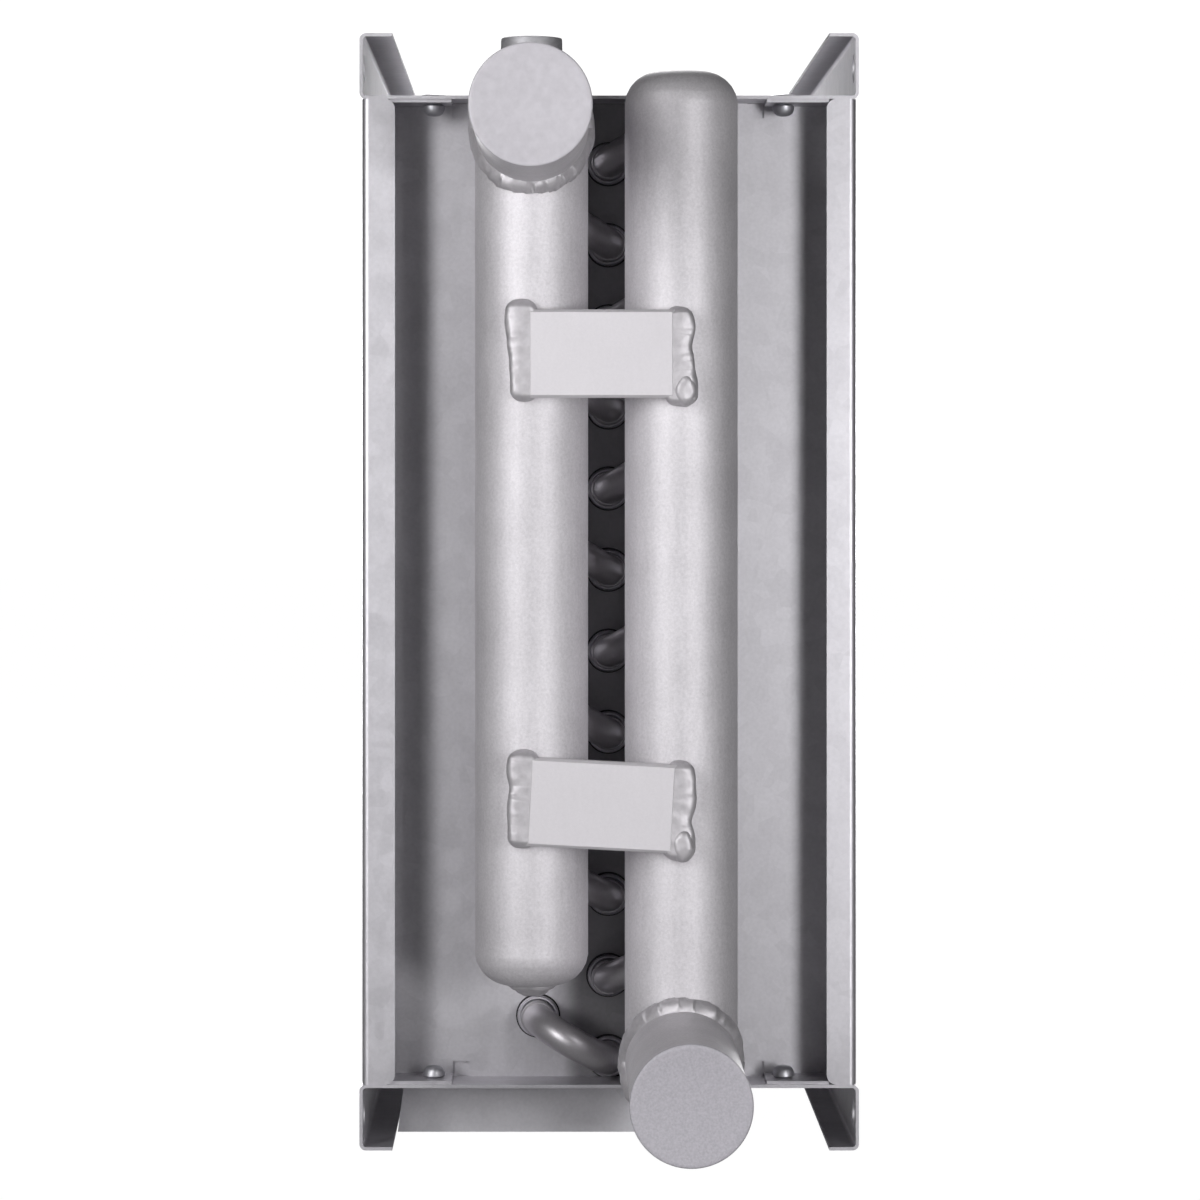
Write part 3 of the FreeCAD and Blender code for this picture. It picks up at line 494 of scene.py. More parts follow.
def turned(outline, centre, direction, sides=SIDES):
    """A mesh from an outline of (radius, height) pairs, turned about an axis; radius 0 closes an end."""
    body = bmesh.new()
    aim = Vector(direction).to_track_quat("Z", "Y").to_matrix()
    rings = []
    for radius, height in outline:
        around = [2 * math.pi * i / sides for i in range(sides if radius > 0 else 1)]
        points = [Vector((radius * math.cos(a), radius * math.sin(a), height)) for a in around]
        rings.append([body.verts.new(Vector(centre) + aim @ p) for p in points])
    for near, far in zip(rings, rings[1:]):
        for i in range(sides):
            corners = (near[i % len(near)], near[(i + 1) % len(near)], far[(i + 1) % len(far)], far[i % len(far)])
            body.faces.new(list(dict.fromkeys(corners)))
    bmesh.ops.recalc_face_normals(body, faces=body.faces)
    mesh = bpy.data.meshes.new("turned")
    body.to_mesh(mesh)
    body.free()
    return mesh


# %% [markdown]
# ## The headers
# A header is a length of pipe whose ends were heated, spun and pressed shut. The wall rounds over in a shoulder
# about 10 mm wide and high. The spinning tool leaves faint rings there, and a small ridge where the end closed.

# %% Header pipes
PIPE_RADIUS = 33.7 / 2 * MM
SHOULDER_WIDE = 10.5 * MM
SHOULDER_HIGH = 10 * MM
SHOULDER_STEPS = 18
CROWN_DROP = 0.7 * MM  # the right header's upper end was pressed a little flatter


def shoulder_radius(depth):
    """The radius of a header at a depth below its spun end."""
    if depth >= SHOULDER_HIGH:
        return PIPE_RADIUS
    rise = 1 - max(depth, 0) / SHOULDER_HIGH
    return PIPE_RADIUS - SHOULDER_WIDE * (1 - math.sqrt(1 - rise * rise))


def spun_end():
    """(radius, depth) pairs from the wall over the shoulder to the middle of a closed end."""
    outline = []
    for step in range(SHOULDER_STEPS + 1):
        angle = math.pi / 2 * step / SHOULDER_STEPS
        depth = SHOULDER_HIGH * (1 - math.sin(angle))
        radius = PIPE_RADIUS - SHOULDER_WIDE * (1 - math.cos(angle))
        ring = 0.05 * MM * math.sin(step * 2.1)
        outline.append((radius + ring, depth))
    ridge = next(i for i, (_, depth) in enumerate(outline) if depth < 3.3 * MM)
    radius, depth = outline[ridge]
    outline.insert(ridge, (radius + 0.22 * MM, depth + 0.2 * MM))
    return outline + [(0, 0)]


headers = {}
for node in ("return_header_pipe", "supply_header_pipe"):
    low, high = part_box(node)
    axis = Vector((centre_of(node).x, centre_of(node).y, 0))
    lower = [(radius, low.z + depth) for radius, depth in reversed(spun_end())]
    crown = high.z - (CROWN_DROP if node.startswith("supply") else 0)
    upper = [(radius, crown - depth) for radius, depth in spun_end()]
    mesh = turned(lower + upper, axis, (0, 0, 1))
    as_piece(node.replace("_pipe", "_spun_pipe"), mesh, silver_paint, [node], crisp=40)
    headers[node.split("_")[0]] = (axis, low.z, high.z)

# %% [markdown]
# The lower end of the left header was sealed with one drop of weld, which hangs from the middle as a lumpy nub. It
# is turned like the rest, and then a little noise makes it uneven.

# %% Sealing nub
noise.seed_set(5)  # without it, noise_vector gives other lumps on every run


def roughened(mesh, size, height, seed):
    """Pushes a mesh's points by smooth noise of that grain size, up to that height."""
    for point in mesh.vertices:
        push = noise.noise_vector(point.co / size + Vector((seed, 0, 0)))
        point.co += push * height
    return mesh


axis, bottom, _ = headers["return"]
drop = [(0, 3.4), (2.6, 3.2), (4.4, 2.3), (5.2, 1.5), (6.2, 1.2), (6.9, 0.6), (7.1, -0.4), (0, -0.6)]
mesh = turned([(r * MM, h * MM) for r, h in drop], (axis.x, axis.y, bottom), (0, 0, -1), 40)
as_piece("return_header_seal_weld", roughened(mesh, 4 * MM, 0.5 * MM, 2), painted_weld, crisp=60)

# %% [markdown]
# ## Connection stubs and caps
# Each header has one stub of the same pipe for the pipework, and its saw-cut end is closed with a plastic cap: a
# thin disc just wider than the pipe, with a plug that holds in the bore. The disc has a rounded rim, which the light
# turns into a fine ring.

# %% Stubs and caps
STUB_START = 3 * MM  # from the header's axis, inside its bore
QUARTER = (0, 0.4, 0.8, 1.2, math.pi / 2)  # angles of a rounded edge
CAP_RIM = 0.6 * MM
CAP_PLUG = PIPE_RADIUS - 2.8 * MM
for side, finish in (("return", "smooth_polyethylene"), ("supply", "grained_polyethylene")):
    axis = headers[side][0]
    node = f"{side}_connection_stub"
    level = centre_of(node).z
    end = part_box(node)[0].y
    reach = axis.y - end
    outline = [(0, STUB_START), (PIPE_RADIUS, STUB_START), (PIPE_RADIUS, reach - 0.4 * MM),
               (PIPE_RADIUS - 0.4 * MM, reach), (0, reach)]
    mesh = turned(outline, (axis.x, axis.y, level), (0, -1, 0))
    as_piece(node + "_pipe", mesh, silver_paint, [node], crisp=30)

    node = f"{side}_connection_cap"
    low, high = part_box(node)
    radius, thick = (high.x - low.x) / 2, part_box(f"{side}_connection_stub")[0].y - low.y
    deep = high.y - low.y
    outline = [(0, 0.1 * MM), (radius - 1.7 * MM, 0.1 * MM), (radius - 1.4 * MM, 0)]  # sunk a little inside its rim
    outline += [(radius - CAP_RIM + CAP_RIM * math.sin(a), CAP_RIM - CAP_RIM * math.cos(a)) for a in QUARTER]
    outline += [(radius, thick), (CAP_PLUG, thick), (CAP_PLUG, deep), (0, deep)]
    mesh = turned(outline, (axis.x, low.y, level), (0, 1, 0))
    as_piece(node + "_moulding", mesh, cap_finishes[finish], [node], crisp=50)

# %% [markdown]
# ## Vent and drain sockets
# A threaded steel socket is welded on the top of the left header for the vent, and one under the right header for
# the drain. Both are turned: a straight wall, a chamfered mouth and a foot that the weld has flared.

# %% Sockets
SOCKET_RADIUS = 18.5 / 2 * MM
SOCKET_BORE = 11.4 / 2 * MM
for node, way in (("vent_socket", 1), ("drain_socket", -1)):
    low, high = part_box(node)
    tall = high.z - low.z
    base = low.z if way > 0 else high.z
    flare = [(SOCKET_RADIUS + 2.6 * MM * (1 - math.sin(a)), 3.6 * MM * (1 - math.cos(a))) for a in QUARTER]
    chamfer = [(SOCKET_RADIUS - inward * MM, tall - down * MM)
               for inward, down in ((0.1, 0.8), (0.25, 0.25), (0.8, 0))]
    mouth = [*chamfer, (SOCKET_BORE + 0.7 * MM, tall), (SOCKET_BORE, tall - 0.7 * MM)]
    outline = [(0, 0), *flare, *mouth, (SOCKET_BORE, 0.8 * MM), (0, 0.8 * MM)]
    mesh = turned(outline, (centre_of(node).x, centre_of(node).y, base), (0, 0, way), 64)
    as_piece(node + "_turned", mesh, bare["turned_steel"], [node], crisp=30)
for node in ("vent_plug", "drain_plug"):
    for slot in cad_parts[node].material_slots:
        slot.material = bare["turned_steel"]

# %% [markdown]
# ## Tie bars
# Two short flat bars are welded across the front of the headers and hold them at their distance. They were sawn
# from bar stock, so the edges are nearly sharp. The CAD solids have that shape already.

# %% Tie bars
for node in ("upper_tie_bar", "lower_tie_bar"):
    as_sheet(node, bar_paint)

# %% [markdown]
# ## Weld beads
# A weld is a row of small pools that froze one over the other, so its surface is a string of overlapping crescents.
# The bead is swept along the joint: a rounded section whose width and height wander a little, with a ripple whose
# crest trails back at the edges. The noise is the same on every run.

# %% Bead helper
BEAD_AROUND = 20
WANDERS = 140  # slow changes of a bead's width, per metre
LUMPS = 420  # small lumps on its back, per metre


def bead(name, path, pitch, ripple, seed, closed, square=1.0, ceiling=None, sink=1.4 * MM):
    """Sweeps a bead along (point, outward, half width, height) stations, with a crescent ripple at that pitch.

    A station may end with the ripple's strength there.
    Nothing comes nearer to the front than the ceiling, if there is one, apart from a faint unevenness.
    """
    count = len(path)
    body = bmesh.new()
    rings = []
    along = 0
    total = sum((path[i][0] - path[i - 1][0]).length for i in range(0 if closed else 1, count))
    pitch = total / max(1, round(total / pitch))
    for i, (point, outward, wide, tall, *strength) in enumerate(path):
        before = path[i - 1][0] if i or closed else point
        after = path[(i + 1) % count][0] if i + 1 < count or closed else point
        tangent = (after - before).normalized()
        out = (outward - tangent * outward.dot(tangent)).normalized()
        side = tangent.cross(out)
        along += (point - before).length if i else 0
        wander = noise.noise(Vector((seed, along * WANDERS, 0.3)))
        swell = 1 + (0.16 if closed else 0.05) * wander
        ring = []
        for j in range(BEAD_AROUND):
            angle = 2 * math.pi * j / BEAD_AROUND
            u = math.copysign(abs(math.cos(angle)) ** square, math.cos(angle))
            v = math.copysign(abs(math.sin(angle)) ** square, math.sin(angle))
            curl = along / pitch + 0.8 * u * u + 0.25 * u + 0.7 * wander
            phase = curl % 1
            size = 0.7 + 0.8 * noise.noise(Vector((seed, math.floor(curl) * 3.7, 7.0)))
            size *= strength[0] if strength else 1
            lift = ripple * ((1 - phase) ** 2 - 0.33) * size
            lump = 0.35 * MM * noise.noise(Vector((seed * 3.1, along * LUMPS, u * 1.7)))
            height = v * (tall * swell if v > 0 else sink) + (lift + lump) * max(v, 0)
            spot = point + side * (u * wide * swell) + out * height
            if ceiling is not None:
                spot.y = max(spot.y, ceiling + 0.25 * MM * noise.noise(spot / (2.5 * MM)))
            ring.append(body.verts.new(spot))
        rings.append(ring)
    pairs = list(zip(rings, rings[1:])) + ([(rings[-1], rings[0])] if closed else [])
    for near, far in pairs:
        for j in range(BEAD_AROUND):
            k = (j + 1) % BEAD_AROUND
            body.faces.new((near[j], near[k], far[k], far[j]))
    if not closed:
        body.faces.new(rings[0])
        body.faces.new(rings[-1])
    bmesh.ops.recalc_face_normals(body, faces=body.faces)
    mesh = bpy.data.meshes.new(name)
    body.to_mesh(mesh)
    body.free()
    return as_piece(name, mesh, painted_weld, crisp=70)


# %% [markdown]
# Where a stub meets a header of the same diameter, the joint is a saddle: seen along the stub it is a circle, and
# it dips back to the header's sides. Near the spun end the header is narrower, and the joint comes back with it.

# %% Saddle welds
SADDLE_STEPS = 420
for side, seed in (("return", 3.0), ("supply", 8.0)):
    axis, bottom, top = headers[side]
    level = centre_of(f"{side}_connection_stub").z
    path = []
    for step in range(SADDLE_STEPS):
        t = 2 * math.pi * step / SADDLE_STEPS
        x, z = PIPE_RADIUS * math.cos(t), PIPE_RADIUS * math.sin(t)
        depth = min(top - (level + z), (level + z) - bottom)
        reach = shoulder_radius(depth)
        back = math.sqrt(max(reach * reach - x * x, 0) + STUB_START ** 2)
        on_header = Vector((x, -back, 0)).normalized()
        on_stub = Vector((x, 0, z)).normalized()
        corner = math.sin(t) ** 2
        path.append((Vector((axis.x + x, axis.y - back, level + z)), on_header + on_stub,
                     (3.2 + 0.6 * corner) * MM, (2.0 + 1.6 * corner) * MM, corner))
    bead(f"{side}_stub_weld", path, 4.6 * MM, 1.2 * MM, seed, True)

# %% [markdown]
# The bars end near the middle of each pipe. Their welds are short and fat: each starts inside the bar's end, runs out
# flat and level with the face for four to six millimetres and drops steeply to the pipe. The welder's hand shows in
# the outline, so each weld is given as its reach beyond the bar at six heights, and how far it overruns the bar above
# and below. Each right-hand weld ended in a round pool over the bar's lower corner.

# %% Tie bar welds
BAR_HALF = 43.3 / 2 * MM
BAR_TALL = 26 * MM
BAR_BEAD_STEPS = 110
WELD_ROOT = 3 * MM  # how far a bead starts inside the bar's end
END_ROUND = 3.4 * MM  # the radius that rounds a bead's two ends
POOL = ((0, 0.7), (0.8, 0.55), (1.6, 0.6), (2.4, 0.25), (3.0, -0.5), (3.4, -1.6), (3.5, -3.5), (3.5, -6.0), (0, -6.2))
TIE_WELDS = {  # reach at six heights, overrun above and below, all in mm
    ("upper_tie_bar", "return"): ((6.4, 6.8, 6.2, 5.4, 5.0, 5.2), 3.3, 1.2),
    ("upper_tie_bar", "supply"): ((4.6, 6.0, 5.0, 5.8, 6.8, 6.6), 1.1, 2.6),
    ("lower_tie_bar", "return"): ((6.2, 6.7, 5.6, 6.0, 5.4, 5.2), 2.2, 1.2),
    ("lower_tie_bar", "supply"): ((4.8, 5.6, 6.2, 5.2, 6.6, 6.4), 1.4, 2.4),
}


def between(values, s):
    """A value at share s of the way along a list, eased from one to the next."""
    at = min(s * (len(values) - 1), len(values) - 1.001)
    step, rest = int(at), at % 1
    rest = rest * rest * (3 - 2 * rest)
    return values[step] * (1 - rest) + values[step + 1] * rest


for number, ((node, side), (reach, above, below)) in enumerate(TIE_WELDS.items()):
    way = -1 if side == "return" else 1
    centre = centre_of(node)
    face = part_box(node)[0].y
    turn = Matrix.Rotation(math.radians(3 if node == "lower_tie_bar" else 0), 4, "Y")
    path = []
    top, bottom = BAR_TALL / 2 + above * MM, -BAR_TALL / 2 - below * MM
    for step in range(BAR_BEAD_STEPS + 1):
        s = step / BAR_BEAD_STEPS
        from_end = min(s, 1 - s) * (top - bottom)
        fade = math.sqrt(1 - (1 - min(from_end / END_ROUND, 1)) ** 2)
        out = between(reach, s) * MM
        local = Vector((way * (BAR_HALF + (out - WELD_ROOT) / 2), 0, top + (bottom - top) * s))
        point = turn @ local + Vector((centre.x, 0, centre.z))
        off = point.x - headers[side][0].x
        point.y = headers[side][0].y - math.sqrt(PIPE_RADIUS ** 2 - off * off)
        path.append((point, Vector((way * 0.10, -1, 0)), (out + WELD_ROOT) / 2 * (0.08 + 0.92 * fade),
                     (point.y - face + 0.2 * MM) * fade))
    bead(f"{node}_{side}_weld", path, 9 * MM, 0.35 * MM, number * 2.7 + 1, False,
         square=0.5, ceiling=face + 0.15 * MM)
    if side == "supply":
        corner = turn @ Vector((BAR_HALF + 3.1 * MM, 0, -BAR_TALL / 2 + 2.4 * MM))
        corner += Vector((centre.x, face, centre.z))
        mesh = turned([(r * MM, h * MM) for r, h in POOL], (0, 0, 0), (0, -1, 0), 48)
        mesh.transform(Matrix.Translation(corner) @ Matrix.Diagonal((1, 1, 1.45, 1)))
        as_piece(f"{node}_end_pool", roughened(mesh, 3 * MM, 0.35 * MM, number), painted_weld,
                 crisp=70)

# %% [markdown]
# ## Geometry Nodes
# Fins, rivets, tube collars and bends repeat by a rule, so a node tree grows each of them. The places come in as
# loose points, and the sizes are named inputs. The result is made a plain mesh before it becomes a piece.

# %% Geometry Nodes helpers
SOCKETS = {float: "NodeSocketFloat", int: "NodeSocketInt", type(None): "NodeSocketObject"}


def new_growth(name, inputs):
    """A Geometry Nodes tree with these named inputs, and the node that hands them out."""
    tree = bpy.data.node_groups.new(name, "GeometryNodeTree")
    tree.interface.new_socket("Geometry", in_out="INPUT", socket_type="NodeSocketGeometry")
    tree.interface.new_socket("Geometry", in_out="OUTPUT", socket_type="NodeSocketGeometry")
    for label, value in inputs.items():
        socket = tree.interface.new_socket(label, in_out="INPUT", socket_type=SOCKETS[type(value)])
        if value is not None:
            socket.default_value = value
    tree.interface.new_socket("Finish", in_out="INPUT", socket_type="NodeSocketMaterial")
    return tree, add(tree, "NodeGroupInput").outputs


def close_growth(tree, given, shape, points, links=None):
    """Ends a tree: the shape on every point, realised and with its finish."""
    spread = add(tree, "GeometryNodeInstanceOnPoints", None, {"Points": points, "Instance": shape, **(links or {})})
    real = add(tree, "GeometryNodeRealizeInstances", None, {"Geometry": spread.outputs[0]})
    dressed = add(tree, "GeometryNodeSetMaterial", None, {"Geometry": real.outputs[0], "Material": given["Finish"]})
    add(tree, "NodeGroupOutput", None, {"Geometry": dressed.outputs[0]})
    print("tree", tree.name, "has", len(tree.nodes), "nodes")


def grow(name, tree, points, finish, slot, stands_for=(), crisp=35, **sizes):
    """Runs a tree on points and makes the result a piece."""
    seeds = bpy.data.meshes.new(name + "_points")
    seeds.from_pydata(points, [], [])
    carrier = bpy.data.objects.new(name + "_carrier", seeds)
    scene.collection.objects.link(carrier)
    modifier = carrier.modifiers.new("growth", "NODES")
    modifier.node_group = tree
    given = {**{key.replace("_", " ").capitalize(): value for key, value in sizes.items()}, "Finish": finish}
    for item in tree.interface.items_tree:
        if item.in_out == "INPUT" and item.name in given:
            modifier[item.identifier] = given[item.name]
    evaluated = carrier.evaluated_get(bpy.context.evaluated_depsgraph_get())
    mesh = bpy.data.meshes.new_from_object(evaluated)
    bpy.data.objects.remove(carrier)
    return as_piece(name, mesh, finish, stands_for, crisp)


# %% [markdown]
# ## Where the tubes are
# Three rows of twelve tubes stand in a staggered pattern: 25 mm apart in a row, with the middle row half a pitch
# lower. So every tube is 25 mm from its six neighbours, and one size of bend joins any two of them.

# %% Tube places
TUBE_RADIUS = 9.52 / 2 * MM
TUBE_PITCH = 25 * MM
LEVELS = 12
row_x = {row: centre_of(f"{row}_row_hairpin_tubes").x for row in ("inlet", "middle", "outlet")}
row_top = {row: centre_of(f"{row}_row_hairpin_tubes").z + TUBE_PITCH * (LEVELS - 1) / 2 for row in row_x}
plate_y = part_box("header_side_tube_plate")[1].y
joint_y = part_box("inlet_side_return_bends")[1].y
far_plate_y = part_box("far_side_tube_plate")[0].y


def tube(row, level, y=0.0):
    """The place of one tube, at a distance along the coil."""
    return Vector((row_x[row], y, row_top[row] - TUBE_PITCH * level))


every_tube = [(row, level) for row in row_x for level in range(LEVELS)]
print("tubes:", len(every_tube), "first level in mm:", {row: round(z / MM, 2) for row, z in row_top.items()})

# %% [markdown]
# ## Bent tubes
# A hairpin is one long tube bent back on itself at the far end. A return bend joins the ends of two hairpins at the
# header side. Both are a half circle with two legs, so one tree makes both: it draws the line, joins its three
# parts, and sweeps a circle along it. Reach is the length of a leg.

# %% Tree: bent tubes
bends, given = new_growth("bent_tubes", {"Apart": 0.025, "Reach": 0.5, "Radius": 0.005, "Lean": 0.0, "Spin": 0.0})
half = add(bends, "ShaderNodeMath", {"operation": "MULTIPLY", 1: 0.5}, {0: given["Apart"]})
other = add(bends, "ShaderNodeMath", {"operation": "MULTIPLY", 1: -1.0}, {0: half.outputs[0]})
back = add(bends, "ShaderNodeMath", {"operation": "MULTIPLY", 1: -1.0}, {0: given["Reach"]})
crest = add(bends, "GeometryNodeCurveArc", {
    "mode": "RADIUS", "Resolution": 25, "Start Angle": 0.0, "Sweep Angle": math.pi}, {"Radius": half.outputs[0]})
line = add(bends, "GeometryNodeJoinGeometry", None, {0: crest.outputs[0]})
for leg in (half, other):
    root = add(bends, "ShaderNodeCombineXYZ", None, {"X": leg.outputs[0], "Y": back.outputs[0]})
    tip = add(bends, "ShaderNodeCombineXYZ", None, {"X": leg.outputs[0]})
    straight = add(bends, "GeometryNodeCurvePrimitiveLine", None, {"Start": root.outputs[0], "End": tip.outputs[0]})
    bends.links.new(straight.outputs[0], line.inputs[0])
wire = add(bends, "GeometryNodeCurveToMesh", None, {"Curve": line.outputs[0]})
welded = add(bends, "GeometryNodeMergeByDistance", {"Distance": 0.01 * MM}, {"Geometry": wire.outputs[0]})
route = add(bends, "GeometryNodeMeshToCurve", None, {"Mesh": welded.outputs[0]})
section = add(bends, "GeometryNodeCurvePrimitiveCircle", {"Resolution": 24}, {"Radius": given["Radius"]})
pipe = add(bends, "GeometryNodeCurveToMesh", {"Fill Caps": True},
           {"Curve": route.outputs[0], "Profile Curve": section.outputs[0]})
spin = add(bends, "ShaderNodeCombineXYZ", None, {"Z": given["Spin"]})
spun = add(bends, "GeometryNodeTransform", None, {"Geometry": pipe.outputs[0], "Rotation": spin.outputs[0]})
lean = add(bends, "ShaderNodeCombineXYZ", None, {"Y": given["Lean"]})
close_growth(bends, given, spun.outputs[0], given["Geometry"], {"Rotation": lean.outputs[0]})

# %% Hairpins and return bends
BEND_LEAD = 1 * MM  # the straight start of a return bend
far_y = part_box("middle_row_hairpin_tubes")[1].y - TUBE_RADIUS - TUBE_PITCH / 2
for row in row_x:
    middles = [(tube(row, level, far_y) + tube(row, level + 1, far_y)) / 2 for level in range(0, LEVELS, 2)]
    grow(f"{row}_row_hairpins", bends, middles, bare["drawn_copper"], "copper_tube", [f"{row}_row_hairpin_tubes"],
         apart=TUBE_PITCH, reach=far_y - joint_y, radius=TUBE_RADIUS, lean=math.pi / 2, spin=0.0)
for row, first in (("inlet", 1), ("outlet", 0)):
    ends = [(tube(row, level, joint_y), tube("middle", level, joint_y)) for level in range(first, LEVELS, 2)]
    slope = math.atan2(ends[0][0].z - ends[0][1].z, ends[0][1].x - ends[0][0].x)
    middles = [(a + b) / 2 - Vector((0, BEND_LEAD, 0)) for a, b in ends]
    grow(f"{row}_side_bends", bends, middles, tube_paint, "silver_paint", [f"{row}_side_return_bends"],
         apart=TUBE_PITCH, reach=BEND_LEAD, radius=TUBE_RADIUS, lean=slope, spin=math.pi)

# %% [markdown]
# ## Rings round the tubes
# The tube plates have a collar pressed out round each hole, which guides the tube and shows as a bright ring. At the
# header side each tube end is widened to a cup that the bend sits in, with a fillet of braze at its mouth, and a thin
# near-black ring round each collar on the plate is painted shade. One tree makes all three, as a rounded section
# swept round a circle.

# %% Tree: rings
rings, given = new_growth("rings", {"Ring radius": 0.006, "Wall": 0.001, "Depth": 0.001})
circle = add(rings, "GeometryNodeCurvePrimitiveCircle", {"Resolution": 32}, {"Radius": given["Ring radius"]})
section = add(rings, "GeometryNodeCurvePrimitiveCircle", {"Resolution": 10, "Radius": 1.0})
size = add(rings, "ShaderNodeCombineXYZ", {"Z": 1.0}, {"X": given["Wall"], "Y": given["Depth"]})
oval = add(rings, "GeometryNodeTransform", None, {"Geometry": section.outputs[0], "Scale": size.outputs[0]})
lip = add(rings, "GeometryNodeCurveToMesh", None, {"Curve": circle.outputs[0], "Profile Curve": oval.outputs[0]})
upright = add(rings, "GeometryNodeTransform", {"Rotation": (math.pi / 2, 0, 0)}, {"Geometry": lip.outputs[0]})
close_growth(rings, given, upright.outputs[0], given["Geometry"])

# %% Collars and braze fillets
COLLAR_DEEP = 1.2 * MM
for name, y in (("header_side_collars", plate_y - SHEET - COLLAR_DEEP),
                ("far_side_collars", far_plate_y + SHEET + COLLAR_DEEP)):
    grow(name, rings, [tube(row, level, y) for row, level in every_tube], zinc_sheet, "galvanised_sheet",
         ring_radius=5.7 * MM, wall=0.7 * MM, depth=COLLAR_DEEP)
# A thin near-black ring round each collar on the header-side plate: painted shade.
shade_ring_places = [tube(row, level, plate_y - SHEET - 0.05 * MM) for row, level in every_tube]
grow("brazing_soot_rings", rings, shade_ring_places, bare["brazing_soot"], "galvanised_sheet",
     ring_radius=6.5 * MM, wall=0.35 * MM, depth=0.04 * MM)
bend_mouths = [tube(row, level, joint_y - 2.2 * MM) for row, level in every_tube]
grow("braze_fillets", rings, bend_mouths, tube_paint, "silver_paint",
     ring_radius=TUBE_RADIUS, wall=0.6 * MM, depth=1.0 * MM)

# %% [markdown]
# ## Feeder tubes and fin sleeves
# Short feeders lead from the tube plate into each header. Inside the pack the fins have collars of their own metal,
# one against the next, so what shows between two fins is an aluminium sleeve and not copper. Both are straight
# tubes.

# %% Tree: straight tubes
straights, given = new_growth("straight_tubes", {"Reach": 0.1, "Radius": 0.005})
tip = add(straights, "ShaderNodeCombineXYZ", None, {"Y": given["Reach"]})
line = add(straights, "GeometryNodeCurvePrimitiveLine", None, {"End": tip.outputs[0]})
section = add(straights, "GeometryNodeCurvePrimitiveCircle", {"Resolution": 24}, {"Radius": given["Radius"]})
pipe = add(straights, "GeometryNodeCurveToMesh", {"Fill Caps": True},
           {"Curve": line.outputs[0], "Profile Curve": section.outputs[0]})
close_growth(straights, given, pipe.outputs[0], given["Geometry"])

# %% Cups, feeders and sleeves
CUP_REACH = 7 * MM
CUP_OVERLAP = 2 * MM  # how far a cup stands over the bend in it
grow("tube_end_cups", straights, [tube(row, level, joint_y - CUP_OVERLAP) for row, level in every_tube],
     tube_paint, "silver_paint", reach=CUP_REACH, radius=TUBE_RADIUS + 0.3 * MM)
for side, row, first in (("return", "inlet", 0), ("supply", "outlet", 1)):
    low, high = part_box(f"{side}_feeder_tubes")
    starts = [tube(row, level, low.y) for level in range(first, LEVELS, 2)]
    grow(f"{side}_feeders", straights, starts, tube_paint, "silver_paint", [f"{side}_feeder_tubes"],
         reach=high.y - low.y, radius=TUBE_RADIUS)
pack_low, pack_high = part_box("fin_pack")
grow("fin_sleeves", straights, [tube(row, level, pack_low.y) for row, level in every_tube],
     bare["rolled_aluminium_foil"], "aluminium_fin", reach=pack_high.y - pack_low.y, radius=TUBE_RADIUS + 0.25 * MM)

# %% [markdown]
# ## The fins
# About two hundred fins, 2.5 mm apart, are pressed from aluminium foil and pleated across the air flow to stir it.
# A fin is only 0.12 mm thick; it is drawn at 0.25 mm, so that its edge still shows as a line. Each one sits a hair
# off its place, because a stack of foil is never perfectly even.

# %% Tree: fins
fins, given = new_growth("fins", {"Count": 200, "Pitch": 0.0025, "Depth": 0.065, "Height": 0.3, "Gauge": 0.0002,
                                  "Pleat": 0.0006, "Jitter": 0.0001, "Seed": 7})
size = add(fins, "ShaderNodeCombineXYZ", None, {"X": given["Depth"], "Y": given["Gauge"], "Z": given["Height"]})
blank = add(fins, "GeometryNodeMeshCube", {"Vertices X": 9, "Vertices Y": 2, "Vertices Z": 3},
            {"Size": size.outputs[0]})
where = add(fins, "ShaderNodeSeparateXYZ", None, {0: add(fins, "GeometryNodeInputPosition").outputs[0]})
step = add(fins, "ShaderNodeMath", {"operation": "DIVIDE", 1: 8.0}, {0: given["Depth"]})
fold = add(fins, "ShaderNodeMath", {"operation": "PINGPONG"}, {0: where.outputs["X"], 1: step.outputs[0]})
level = add(fins, "ShaderNodeMath", {"operation": "DIVIDE"}, {0: fold.outputs[0], 1: step.outputs[0]})
push = add(fins, "ShaderNodeMath", {"operation": "MULTIPLY"}, {0: level.outputs[0], 1: given["Pleat"]})
offset = add(fins, "ShaderNodeCombineXYZ", None, {"Y": push.outputs[0]})
pleated = add(fins, "GeometryNodeSetPosition", None, {"Geometry": blank.outputs[0], "Offset": offset.outputs[0]})
apart = add(fins, "ShaderNodeCombineXYZ", None, {"Y": given["Pitch"]})
row = add(fins, "GeometryNodeMeshLine", {"mode": "OFFSET"}, {"Count": given["Count"], "Offset": apart.outputs[0]})
stack = add(fins, "GeometryNodeInstanceOnPoints", None, {"Points": given["Geometry"], "Instance": row.outputs[0]})
stack = add(fins, "GeometryNodeRealizeInstances", None, {"Geometry": stack.outputs[0]})
slack = add(fins, "ShaderNodeCombineXYZ", None, {"Y": given["Jitter"]})
loose = add(fins, "FunctionNodeRandomValue", {"data_type": "FLOAT_VECTOR"},
            {"Max": slack.outputs[0], "Seed": given["Seed"]})
settled = add(fins, "GeometryNodeSetPosition", None, {"Geometry": stack.outputs[0], "Offset": loose.outputs[0]})
close_growth(fins, given, pleated.outputs[0], settled.outputs[0])

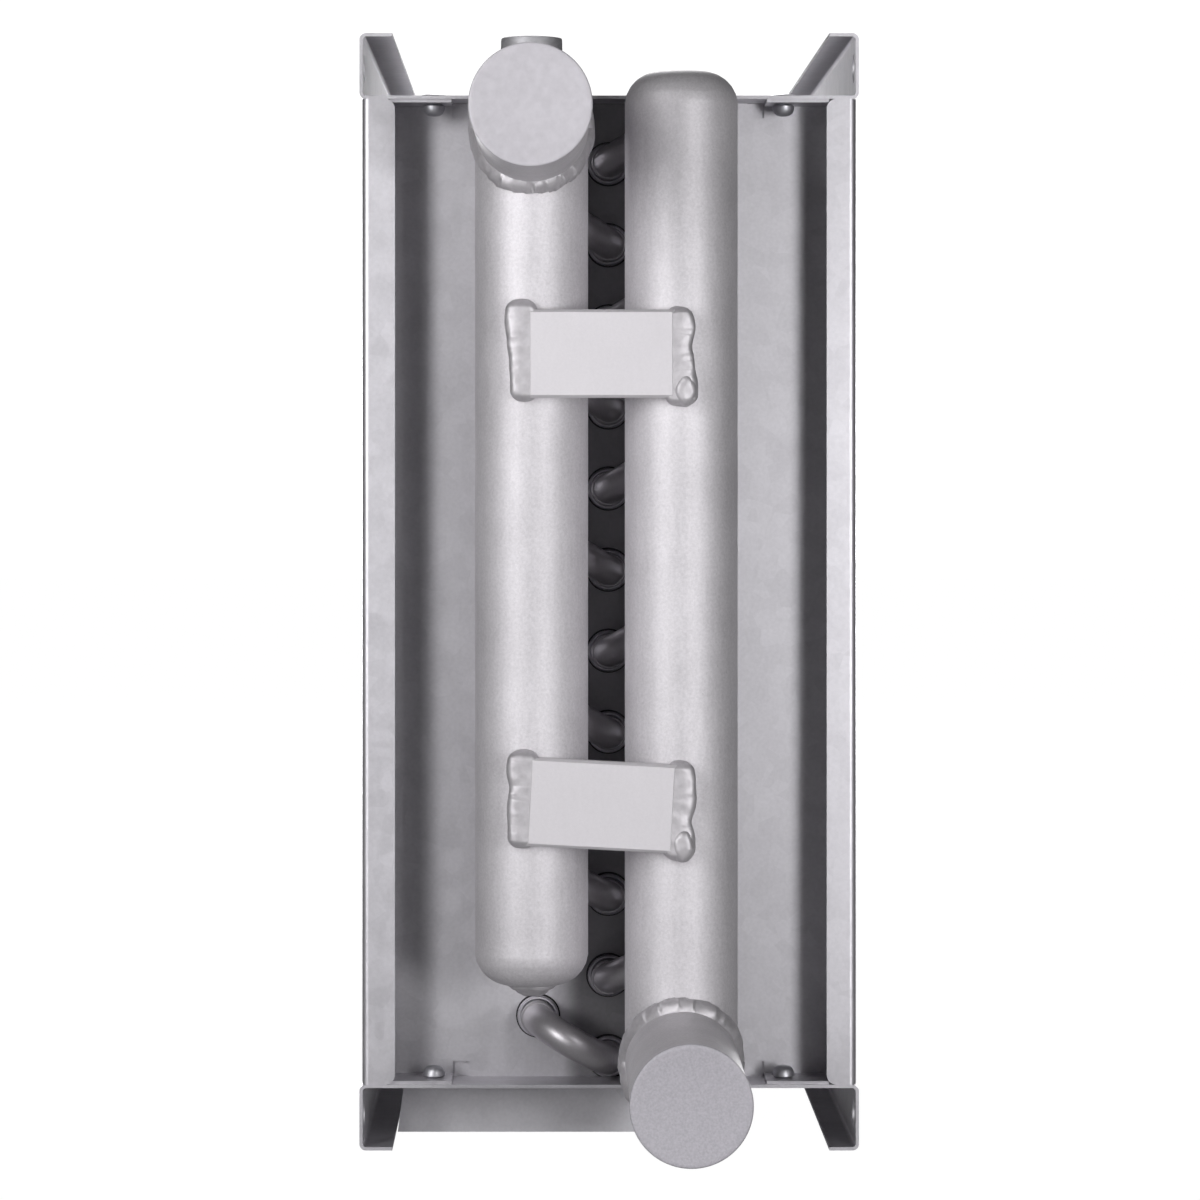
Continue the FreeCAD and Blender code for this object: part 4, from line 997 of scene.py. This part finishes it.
# %% Fins
FIN_PITCH = 2.5 * MM
FIN_GAUGE = 0.25 * MM
FIN_PLEAT = 0.5 * MM
FIN_JITTER = 0.12 * MM
FIN_ROOM = 1.2 * MM  # kept free for the pleats, so that no fin leaves the pack's box
pack = pack_high - pack_low
fin_count = int((pack.y - FIN_ROOM) / FIN_PITCH) + 1
slack_y = (pack.y - (fin_count - 1) * FIN_PITCH) / 2
grow("fins", fins, [((pack_low.x + pack_high.x) / 2, pack_low.y + slack_y, (pack_low.z + pack_high.z) / 2)],
     bare["rolled_aluminium_foil"], "aluminium_fin", ["fin_pack"], crisp=20, count=fin_count, pitch=FIN_PITCH,
     depth=pack.x, height=pack.z, gauge=FIN_GAUGE, pleat=FIN_PLEAT, jitter=FIN_JITTER, seed=7)

# %% [markdown]
# ## Blind rivets
# Four blind rivets at each end join the tube plate's tabs to the panels. Outside, a rivet shows a wide low head with
# the hole of its mandrel; inside, the set end is a narrow rounded bulb. One rivet is turned as a pattern, and a tree
# sets it on each place. It rolls the rivet over wherever the place lies below the middle of the coil.

# %% Tree: rivets
rivets, given = new_growth("rivets", {"Pattern": None})
pattern = add(rivets, "GeometryNodeObjectInfo", None, {"Object": given["Pattern"]})
where = add(rivets, "ShaderNodeSeparateXYZ", None, {0: add(rivets, "GeometryNodeInputPosition").outputs[0]})
below = add(rivets, "ShaderNodeMath", {"operation": "LESS_THAN", 1: 0.0}, {0: where.outputs["Z"]})
roll = add(rivets, "ShaderNodeMath", {"operation": "MULTIPLY", 1: math.pi}, {0: below.outputs[0]})
turn = add(rivets, "ShaderNodeCombineXYZ", None, {"X": roll.outputs[0]})
close_growth(rivets, given, pattern.outputs["Geometry"], given["Geometry"], {"Rotation": turn.outputs[0]})

# %% Rivets
RIVET_HEAD = 9.5 / 2 * MM
RIVET_BULB = 6.8 / 2 * MM
RIVET_SHANK = 4.8 / 2 * MM
RIVET_RISE = 1.2 * MM
SHEETS = 2 * SHEET  # the tab and the panel that a rivet holds together
head_up = [(RIVET_HEAD * math.cos(a), RIVET_RISE * math.sin(a)) for a in (0, 0.35, 0.7, 1.0, 1.25)]
bulb = [(RIVET_BULB * math.cos(a) ** 0.6, -SHEETS - 0.6 * MM - 3.1 * MM * math.sin(a))
        for a in (0, 0.3, 0.6, 0.9, 1.2, 1.45)]
rivet_outline = [(0, 0.5 * MM), (1.0 * MM, 0.5 * MM), (1.15 * MM, 1.15 * MM), *reversed(head_up),
                 (RIVET_SHANK, -0.01 * MM), (RIVET_SHANK, -SHEETS), *bulb, (0, bulb[-1][1] - 0.1 * MM)]
rivet = bpy.data.objects.new("rivet_pattern", turned(rivet_outline, (0, 0, 0), (0, 0, 1), 24))
scene.collection.objects.link(rivet)
for node in ("header_side_rivets", "far_side_rivets"):
    low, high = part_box(node)
    spots = [(x, centre_of(node).y, z) for x in (low.x + RIVET_HEAD, high.x - RIVET_HEAD)
             for z in (low.z + RIVET_RISE, high.z - RIVET_RISE)]
    grow(node.replace("rivets", "blind_rivets"), rivets, spots, bare["zinc_plated_rivet"], "rivet_steel", [node],
         crisp=40, pattern=rivet)
bpy.data.objects.remove(rivet)

# %% [markdown]
# ## Sizes and the last line
# The last line prints how far the visual model reaches past the CAD model's box on each side, in millimetres.

# %% Print the overshoot
low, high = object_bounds()
print("over the CAD box in mm:", [round(max(a, 0) / MM, 2) for a in (*(cad_low - low), *(high - cad_high))])
